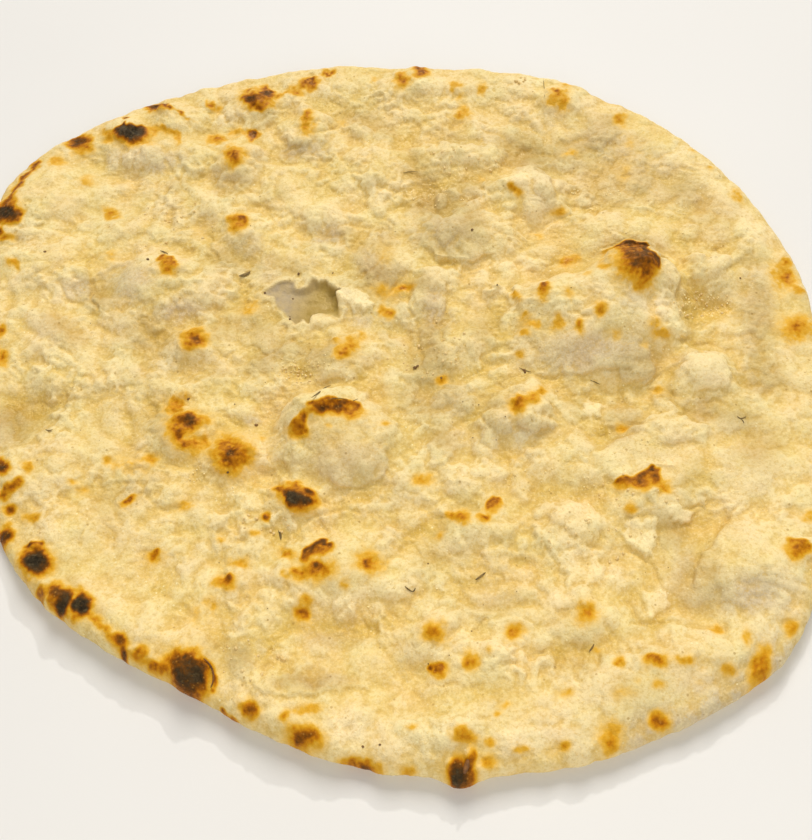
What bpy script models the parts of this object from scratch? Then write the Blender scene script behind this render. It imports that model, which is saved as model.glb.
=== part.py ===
"""A round naan baked on an oven wall, lying flat with its blistered side up.

The bread is one closed solid. Its outline wanders between two radii, its underside is flat,
its rim is rounded, and its top is a sheet of dough that is raised into blisters, pads and
rolls and sunk in a few hollows, one of them a blister that has burst open near the middle.

Sizes are in millimetres until the mesh is made, with X to the right, Y away from the front
and the origin in the middle of the underside.
"""

import math
from collections import namedtuple

import bmesh
import bpy
import numpy as np
from mathutils import Vector, noise

MM = 0.001

# Outline: the distance from the middle to the edge, every OUTLINE_STEP degrees from +X.
OUTLINE_STEP = 12
OUTLINE_RADII = (
    135, 136, 136, 135, 134, 133, 129, 128, 131, 134,
    140, 147, 153, 146, 137, 132, 128, 126, 124, 120,
    118, 121, 126, 130, 135, 140, 145, 142, 139, 137,
)

# Thickness: the dough between blisters, and the level of the edge's outermost line.
DOUGH = 5.6
EDGE_LEVEL = 2.8

# Rim: how far in from the edge its top and its underside are rounded.
RIM_TOP_WIDTH = 4.5
RIM_FOOT_WIDTH = 4.0

# Rim swell: a low roll that follows the edge all the way round.
SWELL_INSET = 10.0
SWELL_HALF_WIDTH = 7.0
SWELL_RISE = 1.2

# A puff is an oval cap: its middle, half length, half width, turn in degrees and rise.
Puff = namedtuple("Puff", "x y long wide turn rise")

ROLLS = (
    Puff(66, -107, 36, 12, 15, 3.2),
    Puff(13, -118, 27, 10, 2, 2.4),
    Puff(-29, -110, 25, 10, -19, 2.4),
    Puff(-72, -88, 24, 10, -36, 2.4),
    Puff(-101, -33, 24, 14, 16, 3.2),
    Puff(-104, 12, 24, 9, -48, 2.8),
    Puff(-75, 92, 31, 12, -12, 3.2),
    Puff(-62, 67, 24, 8, -32, 2.2),
    Puff(112, 24, 15, 24, -8, 1.6),
)

PADS = (
    Puff(-115, 71, 25, 18, 40, 3.6),
    Puff(-110, 41, 19, 14, -30, 3.6),
    Puff(98, -82, 23, 17, 18, 4.8),
    Puff(99, -56, 21, 12, -6, 3.0),
    Puff(82, 35, 21, 12, -14, 3.4),
    Puff(-15, -74, 23, 13, -6, 3.6),
    Puff(56, -46, 18, 9, -8, 2.4),
    Puff(79, -41, 17, 8, 8, 3.2),
    Puff(48, -66, 16, 10, 0, 2.6),
    Puff(-92, -54, 14, 11, 10, 2.2),
    Puff(0, 75, 16, 13, -20, 2.8),
    Puff(-30, 72, 17, 10, -18, 1.8),
    Puff(-20, 57, 15, 8, -16, 2.0),
    Puff(-50, -104, 12, 7, -30, 1.6),
    Puff(20, -103, 13, 8, 4, 2.6),
    Puff(22, -4, 16, 9, 38, 2.4),
    Puff(17, 19, 13, 9, 70, 2.6),
)

BLISTERS = (
    Puff(66, 2, 31, 21, 4, 7.4),
    Puff(73, 7, 25, 18, -4, 10.0),
    Puff(80, 14, 18, 14, -8, 12.8),
    Puff(57, 9, 17, 13, 6, 8.8),
    Puff(105, 18, 10, 9, 0, 3.8),
    Puff(-16, -32, 20, 18, -12, 7.4),
    Puff(-21, -25, 14, 9, 8, 9.6),
    Puff(33, 76, 19, 9, -6, 3.8),
    Puff(53, 57, 15, 12, -26, 4.8),
    Puff(33, 42, 19, 12, 2, 4.2),
    Puff(-68, 31, 21, 13, -12, 4.6),
    Puff(39, -28, 15, 9, 28, 4.6),
    Puff(70, -60, 14, 9, -4, 4.2),
    Puff(23, -64, 14, 8, 20, 3.6),
    Puff(96, -20, 11, 9, -10, 3.8),
    Puff(-28, -51, 9, 8, -20, 3.4),
    Puff(-46, -36, 10, 10, 0, 3.8),
    Puff(-61, -26, 11, 10, 0, 3.0),
    Puff(-59, 5, 10, 8, 0, 3.0),
    Puff(-12, -4, 13, 8, 18, 3.4),
    Puff(2, 31, 12, 10, 0, 2.6),
    Puff(-46, 83, 11, 11, 0, 3.4),
    Puff(-22, 96, 9, 11, 0, 2.8),
    Puff(-87, 101, 9, 8, 0, 3.4),
    Puff(-70, 105, 12, 9, -36, 3.6),
    Puff(-40, 110, 11, 9, 0, 3.0),
    Puff(15, 114, 11, 8, 0, 2.2),
    Puff(70, 100, 10, 9, -35, 2.4),
    Puff(-45, 51, 12, 9, -20, 2.4),
    Puff(-56, -97, 9, 8, -20, 3.0),
    Puff(-89, -76, 11, 7, -32, 2.4),
    Puff(-101, -64, 7, 7, 0, 2.2),
    Puff(9, -94, 10, 8, 0, 2.4),
    Puff(48, -91, 10, 8, 0, 2.2),
)

# A hollow is an oval dip with the same measures; its rise is how deep it goes.
HOLLOWS = (
    Puff(22, 61, 11, 9, 0, 2.4),
    Puff(-50, 45, 20, 5, -48, 1.2),
    Puff(-111, -13, 18, 7, 8, 1.8),
    Puff(101, 4, 11, 5, 6, 1.4),
    Puff(68, -24, 26, 7, -6, 1.6),
    Puff(-14, -90, 18, 6, -4, 1.2),
    Puff(8, 3, 15, 5, -46, 1.6),
    Puff(84, -94, 26, 4, 6, 1.0),
)
TEAR = Puff(-24, 19, 14, 9, -14, 3.6)

# How full a cap is: a low power gives steep sides and a broad top.
BLISTER_FULLNESS = 0.85
PAD_FULLNESS = 1.25
HOLLOW_FULLNESS = 1.5
TEAR_FULLNESS = 0.8
JOIN_SOFTNESS = 0.7

# Uneven dough: (size across, height) of each kind of lump, and where the pattern is cut.
LUMPS = ((34.0, 1.0), (15.0, 0.8), (7.5, 0.55))
LUMP_OFFSET = Vector((13.7, 5.1, 2.3))
SMOOTH_RIM_WIDTH = 16.0

# The scorched nub that sticks out of the front edge: its bearing, half width and reach.
NUB_BEARING = 274.8
NUB_HALF_WIDTH = 4.2
NUB_REACH = 3.0

# Mesh: cells across the top, of which the outer rings turn down over the rim.
CELLS = 72
RIM_RINGS = 3
FOOT_RINGS = 1
UNDERSIDE_INSETS = (10.0, 20.0, 38.0, 70.0)

CRUST_COLOUR = (0.83, 0.67, 0.36, 1.0)
CRUST_ROUGHNESS = 0.6


def clear_scene():
    for old in list(bpy.data.objects):
        bpy.data.objects.remove(old, do_unlink=True)


def outline_radius(bearing):
    """Edge distances at an array of bearings in radians, on a smooth closed curve."""
    radii = np.array(OUTLINE_RADII, dtype=float)
    place = np.degrees(bearing) / OUTLINE_STEP
    start = np.floor(place).astype(int)
    t = place - start
    before, here, after, beyond = (radii[(start + k) % len(radii)] for k in (-1, 0, 1, 2))
    curve = 2 * here + (after - before) * t
    curve = curve + (2 * before - 5 * here + 4 * after - beyond) * t**2
    curve = curve + (3 * here - before - 3 * after + beyond) * t**3
    away = np.degrees(bearing) % 360 - NUB_BEARING
    arc = np.radians(away) * curve / 2
    return curve / 2 + NUB_REACH * np.exp(-((arc / NUB_HALF_WIDTH) ** 2))


def cap(puff, x, y, fullness):
    """Height of one oval cap over each point, and 0 outside its oval."""
    turn = math.radians(puff.turn)
    along = (x - puff.x) * math.cos(turn) + (y - puff.y) * math.sin(turn)
    across = (y - puff.y) * math.cos(turn) - (x - puff.x) * math.sin(turn)
    inside = 1 - (along / puff.long) ** 2 - (across / puff.wide) ** 2
    return puff.rise * np.maximum(inside, 0) ** fullness


def joined_caps(x, y):
    """Rise of all rolls, pads and blisters, the highest one winning with a soft crease."""
    total = np.ones_like(x)
    for puffs, fullness in ((ROLLS, PAD_FULLNESS), (PADS, PAD_FULLNESS), (BLISTERS, BLISTER_FULLNESS)):
        for puff in puffs:
            total += np.expm1(cap(puff, x, y, fullness) / JOIN_SOFTNESS)
    return JOIN_SOFTNESS * np.log(total)


def sunk_hollows(x, y):
    depth = cap(TEAR, x, y, TEAR_FULLNESS)
    for hollow in HOLLOWS:
        depth = depth + cap(hollow, x, y, HOLLOW_FULLNESS)
    return depth


def lumps(x, y):
    """Uneven rises and dips of the dough itself."""
    height = np.zeros_like(x)
    for size, rise in LUMPS:
        for i, (px, py) in enumerate(zip(x, y)):
            height[i] += rise * noise.noise(Vector((px / size, py / size, size)) + LUMP_OFFSET)
    return height


def top_height(x, y, edge_distance):
    """Height of the top over each point, before the rim is rounded off."""
    swell = SWELL_RISE * np.exp(-(((edge_distance - SWELL_INSET) / SWELL_HALF_WIDTH) ** 2))
    calm = np.clip(edge_distance / SMOOTH_RIM_WIDTH, 0.25, 1)
    return DOUGH + joined_caps(x, y) + swell - sunk_hollows(x, y) + calm * lumps(x, y)


def square_to_disc(u, v):
    """Ring (0 to 1) and bearing of each point of a square, whose square rings become round."""
    sideways = np.abs(u) >= np.abs(v)
    reach = np.where(sideways, u, v)
    ring = np.abs(reach)
    start = np.where(sideways, 0, math.pi / 2) + np.where(reach < 0, math.pi, 0)
    slant = np.where(sideways, v, -u) / np.where(ring > 0, reach, 1)
    return ring, (start + math.pi / 4 * slant) % (2 * math.pi)


def shape_top(bm):
    """Lays a square grid out as the naan's top, with its outer rings over the rim."""
    bmesh.ops.create_grid(bm, x_segments=CELLS, y_segments=CELLS, size=1.0)
    bm.verts.ensure_lookup_table()
    flat = np.array([vert.co[:2] for vert in bm.verts])
    ring, bearing = square_to_disc(flat[:, 0], flat[:, 1])
    radius = outline_radius(bearing)
    rings = np.rint(ring * CELLS / 2)
    level_rings = CELLS / 2 - RIM_RINGS
    level = np.minimum(rings / level_rings, 1) * (radius - RIM_TOP_WIDTH)
    around = np.maximum(rings - level_rings, 0) / RIM_RINGS * math.pi / 2
    distance = level + RIM_TOP_WIDTH * np.sin(around)
    x = distance * np.cos(bearing)
    y = distance * np.sin(bearing)
    top = top_height(x, y, radius - distance)
    z = EDGE_LEVEL + (top - EDGE_LEVEL) * np.cos(around)
    for vert, place in zip(bm.verts, zip(x, y, z)):
        vert.co = Vector(place)


def edge_ring(bm):
    """The verts of the outermost line, in order round the bread."""
    edge = [vert for vert in bm.verts if vert.is_boundary]
    return sorted(edge, key=lambda vert: math.atan2(vert.co.y, vert.co.x))


def inner_ring(bm, outer, keep, inset, height):
    """A ring of every keep-th vert of outer, moved inwards from the outline."""
    ring = []
    for vert in outer[::keep]:
        bearing = math.atan2(vert.co.y, vert.co.x)
        radius = float(outline_radius(np.array([bearing]))[0]) - inset
        ring.append(bm.verts.new((radius * math.cos(bearing), radius * math.sin(bearing), height)))
    return ring


def bridge_even(bm, outer, inner):
    count = len(outer)
    for i in range(count):
        after = (i + 1) % count
        bm.faces.new((outer[after], outer[i], inner[i], inner[after]))


def bridge_halving(bm, outer, inner):
    """Joins a ring to one with half as many verts, with a triangle and a quad for each."""
    count = len(inner)
    for i in range(count):
        here, middle, after = outer[2 * i], outer[2 * i + 1], outer[(2 * i + 2) % len(outer)]
        bm.faces.new((middle, here, inner[i]))
        bm.faces.new((after, middle, inner[i], inner[(i + 1) % count]))


def shape_underside(bm):
    """Rounds the foot of the rim and closes the flat underside with coarser and coarser rings."""
    outer = edge_ring(bm)
    for step in range(1, FOOT_RINGS + 1):
        around = step / (FOOT_RINGS + 1) * math.pi / 2
        inset = RIM_FOOT_WIDTH * (1 - math.cos(around))
        inner = inner_ring(bm, outer, 1, inset, EDGE_LEVEL * (1 - math.sin(around)))
        bridge_even(bm, outer, inner)
        outer = inner
    inner = inner_ring(bm, outer, 1, RIM_FOOT_WIDTH, 0.0)
    bridge_even(bm, outer, inner)
    outer = inner
    for inset in UNDERSIDE_INSETS:
        inner = inner_ring(bm, outer, 2, inset, 0.0)
        bridge_halving(bm, outer, inner)
        outer = inner
    bm.faces.new(reversed(outer))


def centre_on_origin(bm):
    """Moves the middle of the outline's box over the origin and turns millimetres to metres."""
    places = np.array([vert.co[:] for vert in bm.verts])
    middle = (places.min(axis=0) + places.max(axis=0)) / 2
    bmesh.ops.translate(bm, verts=bm.verts, vec=Vector((-middle[0], -middle[1], 0)))
    bmesh.ops.scale(bm, verts=bm.verts, vec=Vector((MM, MM, MM)))


def crust_material():
    material = bpy.data.materials.new("naan_crust")
    material.use_nodes = True
    shader = material.node_tree.nodes["Principled BSDF"]
    shader.inputs["Base Color"].default_value = CRUST_COLOUR
    shader.inputs["Roughness"].default_value = CRUST_ROUGHNESS
    shader.inputs["Metallic"].default_value = 0.0
    return material


def make_naan(collection):
    bm = bmesh.new()
    shape_top(bm)
    shape_underside(bm)
    centre_on_origin(bm)
    bmesh.ops.triangulate(bm, faces=bm.faces, quad_method="SHORT_EDGE", ngon_method="BEAUTY")
    bmesh.ops.recalc_face_normals(bm, faces=bm.faces)
    mesh = bpy.data.meshes.new("naan")
    bm.to_mesh(mesh)
    bm.free()
    mesh.shade_smooth()
    mesh.materials.append(crust_material())
    naan = bpy.data.objects.new("naan", mesh)
    collection.objects.link(naan)
    return naan


def main():
    clear_scene()
    collection = bpy.data.collections.new("Naan")
    bpy.context.scene.collection.children.link(collection)
    make_naan(collection)


main()
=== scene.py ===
import math
from collections import namedtuple

import bmesh
import bpy
import numpy as np
from mathutils import Matrix, Vector
from mathutils.bvhtree import BVHTree


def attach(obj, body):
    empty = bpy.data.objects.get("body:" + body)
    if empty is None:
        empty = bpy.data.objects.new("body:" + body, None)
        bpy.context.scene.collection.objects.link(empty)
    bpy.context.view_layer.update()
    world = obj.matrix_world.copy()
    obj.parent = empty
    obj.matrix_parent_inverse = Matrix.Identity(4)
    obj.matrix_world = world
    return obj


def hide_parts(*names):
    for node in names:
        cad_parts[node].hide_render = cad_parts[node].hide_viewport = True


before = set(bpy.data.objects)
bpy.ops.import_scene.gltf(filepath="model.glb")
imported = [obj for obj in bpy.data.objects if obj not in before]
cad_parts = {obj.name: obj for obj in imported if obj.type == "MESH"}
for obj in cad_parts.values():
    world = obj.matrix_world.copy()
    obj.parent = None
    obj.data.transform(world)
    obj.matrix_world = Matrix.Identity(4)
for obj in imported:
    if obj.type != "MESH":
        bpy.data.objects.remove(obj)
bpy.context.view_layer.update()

MM = 0.001

# ---------------------------------------------------------------------------
# Camera: where the naan was seen from. Places are in millimetres, in the CAD's frame.
# ---------------------------------------------------------------------------
IMAGE_WIDTH = 812
IMAGE_HEIGHT = 840
FOCAL_PIXELS = 980.1
SENSOR_WIDTH = 36.0
NEAREST_SEEN = 0.01
CAMERA_PLACE = (4.96, -173.51, 256.65)
CAMERA_DOWN = math.radians(59.68)
CAMERA_ROLL = math.radians(-4.63)


def camera_axes():
    """The camera's right, up and forward directions."""
    forward = Vector((0, math.cos(CAMERA_DOWN), -math.sin(CAMERA_DOWN)))
    level = Vector((1, 0, 0))
    upright = level.cross(forward)
    right = level * math.cos(CAMERA_ROLL) + upright * math.sin(CAMERA_ROLL)
    up = upright * math.cos(CAMERA_ROLL) - level * math.sin(CAMERA_ROLL)
    return right, up, forward


RIGHT, UP, FORWARD = camera_axes()


def to_pixels(x, y, z):
    """Image columns and rows at which places in millimetres are seen."""
    offsets = [place - eye for place, eye in zip((x, y, z), CAMERA_PLACE)]
    across, rise, depth = (sum(o * a for o, a in zip(offsets, axis)) for axis in (RIGHT, UP, FORWARD))
    return (IMAGE_WIDTH / 2 + FOCAL_PIXELS * across / depth,
            IMAGE_HEIGHT / 2 - FOCAL_PIXELS * rise / depth)


def pixel_ray(column, row):
    """Direction in which the camera sees a pixel."""
    across = (column - IMAGE_WIDTH / 2) / FOCAL_PIXELS
    rise = (IMAGE_HEIGHT / 2 - row) / FOCAL_PIXELS
    return (FORWARD + RIGHT * across + UP * rise).normalized()


# ---------------------------------------------------------------------------
# Fields: numbers over a square grid that covers the bread, seen from above
# ---------------------------------------------------------------------------
POINTS = 720
STEP = 0.4
TICKS = (np.arange(POINTS) - POINTS / 2) * STEP
X, Y = np.meshgrid(TICKS, TICKS)
FREQUENCIES = np.fft.fftfreq(POINTS, STEP)
WAVES_ACROSS, WAVES_ALONG = np.meshgrid(FREQUENCIES, FREQUENCIES)
WAVES = np.hypot(WAVES_ACROSS, WAVES_ALONG)
LAST_PLACE = POINTS - 1.001
SPARE_CELLS = 8
BEYOND = 9.0


def blur(field, radius):
    """A field smoothed by a Gaussian of a radius in millimetres."""
    return np.fft.ifft2(np.fft.fft2(field) * np.exp(-2 * (math.pi * radius * WAVES) ** 2)).real


def ripples(seed, size, spread=0.4, stretch=1.0, turn=0.0):
    """Smooth noise of about one wavelength, in millimetres, with a deviation of 1."""
    white = np.random.default_rng(seed).standard_normal((POINTS, POINTS))
    turn = math.radians(turn)
    along = (WAVES_ACROSS * math.cos(turn) + WAVES_ALONG * math.sin(turn)) * stretch
    across = WAVES_ALONG * math.cos(turn) - WAVES_ACROSS * math.sin(turn)
    octave = np.log2(np.maximum(np.hypot(along, across) * size, 1e-6))
    noise = np.fft.ifft2(np.fft.fft2(white) * np.exp(-0.5 * (octave / spread) ** 2)).real
    return noise / noise.std()


def cells(seed, size, x, y):
    """The nearest of scattered points: how far it lies over and down, two random numbers of it, and
    how much farther the next one is. Distances are in units of size, the spacing in millimetres."""
    rng = np.random.default_rng(seed)
    count = int(POINTS * STEP / size) + SPARE_CELLS
    jitter = rng.random((4, count, count))
    column = np.floor(x / size).astype(int)
    row = np.floor(y / size).astype(int)
    nearest = np.full_like(x, BEYOND)
    following = np.full_like(x, BEYOND)
    found = np.zeros((4, *x.shape))
    for down in (-1, 0, 1):
        for over in (-1, 0, 1):
            i, j = (column + over) % count, (row + down) % count
            right = column + over + jitter[0, i, j] - x / size
            ahead = row + down + jitter[1, i, j] - y / size
            far = np.hypot(right, ahead)
            closer = far < nearest
            following = np.minimum(following, np.where(closer, nearest, far))
            nearest = np.where(closer, far, nearest)
            found = np.where(closer, np.stack([right, ahead, jitter[2, i, j], jitter[3, i, j]]), found)
    return (*found, following - nearest)


def smooth(low, high, value):
    """A soft step from 0 to 1 as a value goes from low to high."""
    t = np.clip((value - low) / (high - low), 0, 1)
    return t * t * (3 - 2 * t)


def hump(distance, width):
    """A bell that is 1 at no distance and fades over a width."""
    return np.exp(-((distance / width) ** 2))


def sample(field, x, y):
    """Values of a field at any places, on straight lines between its grid points."""
    column = np.clip(x / STEP + POINTS / 2, 0, LAST_PLACE)
    row = np.clip(y / STEP + POINTS / 2, 0, LAST_PLACE)
    i, j = np.floor(column).astype(int), np.floor(row).astype(int)
    s, t = column - i, row - j
    upper = field[j, i] * (1 - s) + field[j, i + 1] * s
    lower = field[j + 1, i] * (1 - s) + field[j + 1, i + 1] * s
    return upper * (1 - t) + lower * t


# ---------------------------------------------------------------------------
# The form: outline and main relief are read off the CAD solid
# ---------------------------------------------------------------------------
EDGE_LEVEL = 2.8
RIM_TOP_WIDTH = 4.5
RIM_FOOT_WIDTH = 4.0
RIM_CLEARANCE = 0.2
OUTLINE_COUNT = 1440
OUTLINE_WAVES = 170
FACET_BLUR = 1.5
SHARPEN = 0.5
SHARPEN_SIZE = 5.0
CAD_TREE = BVHTree.FromPolygons(
    [vert.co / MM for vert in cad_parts["naan"].data.vertices],
    [face.vertices[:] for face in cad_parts["naan"].data.polygons],
)
FAR_OFF = 400.0


def read_outline():
    """Distance from the middle to the edge at even bearings, without the solid's facets."""
    radii = []
    for bearing in np.arange(OUTLINE_COUNT) / OUTLINE_COUNT * 2 * math.pi:
        outward = Vector((math.cos(bearing), math.sin(bearing), 0))
        hit = CAD_TREE.ray_cast(outward * FAR_OFF + Vector((0, 0, EDGE_LEVEL)), -outward)[0]
        radii.append(hit.xy.length)
    waves = np.fft.fftfreq(OUTLINE_COUNT, 1 / OUTLINE_COUNT)
    return np.fft.ifft(np.fft.fft(radii) * hump(waves, OUTLINE_WAVES)).real


OUTLINE = read_outline()


def outline_radius(bearing):
    """Distance from the middle to the edge at any bearing."""
    place = np.asarray(bearing) / (2 * math.pi) * OUTLINE_COUNT % OUTLINE_COUNT
    start = np.floor(place).astype(int) % OUTLINE_COUNT
    t = place - np.floor(place)
    return OUTLINE[start] * (1 - t) + OUTLINE[(start + 1) % OUTLINE_COUNT] * t


def read_heights():
    """Height of the bread's top over the grid, carried on level beyond the rounded rim."""
    coarse_x, coarse_y = X[::2, ::2], Y[::2, ::2]
    bearing = np.arctan2(coarse_y, coarse_x)
    reach = np.maximum(np.hypot(coarse_x, coarse_y), 1e-6)
    kept = np.minimum(1, (outline_radius(bearing) - RIM_TOP_WIDTH - RIM_CLEARANCE) / reach)
    heights = np.zeros_like(coarse_x)
    down = Vector((0, 0, -1))
    for place in np.ndindex(heights.shape):
        start = Vector((coarse_x[place] * kept[place], coarse_y[place] * kept[place], FAR_OFF))
        heights[place] = CAD_TREE.ray_cast(start, down)[0].z
    form = blur(heights.repeat(2, axis=0).repeat(2, axis=1), FACET_BLUR)
    return form + SHARPEN * (form - blur(form, SHARPEN_SIZE))


HEIGHT = read_heights()
INSET = outline_radius(np.arctan2(Y, X)) - np.hypot(X, Y)
COLUMN, ROW = to_pixels(X, Y, HEIGHT)

# ---------------------------------------------------------------------------
# Marks: places and sizes are columns and rows of the 812 x 840 view
# ---------------------------------------------------------------------------
# An oval spot: its middle, width, height, turn in degrees and strength.
Spot = namedtuple("Spot", "column row wide high turn strength")
# A line through points, with its half width and strength.
Line = namedtuple("Line", "half strength points")


def ovals(strength, *places):
    """Spots of one strength. A place is a column, row, width, height and, if turned, degrees."""
    return [Spot(*place, *(0,) * (5 - len(place)), strength) for place in places]


# How strongly a burn shows.
BLACK, DARK, BROWN, ORANGE, GOLD, FAINT = 1.45, 0.85, 0.62, 0.44, 0.34, 0.24

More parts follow.
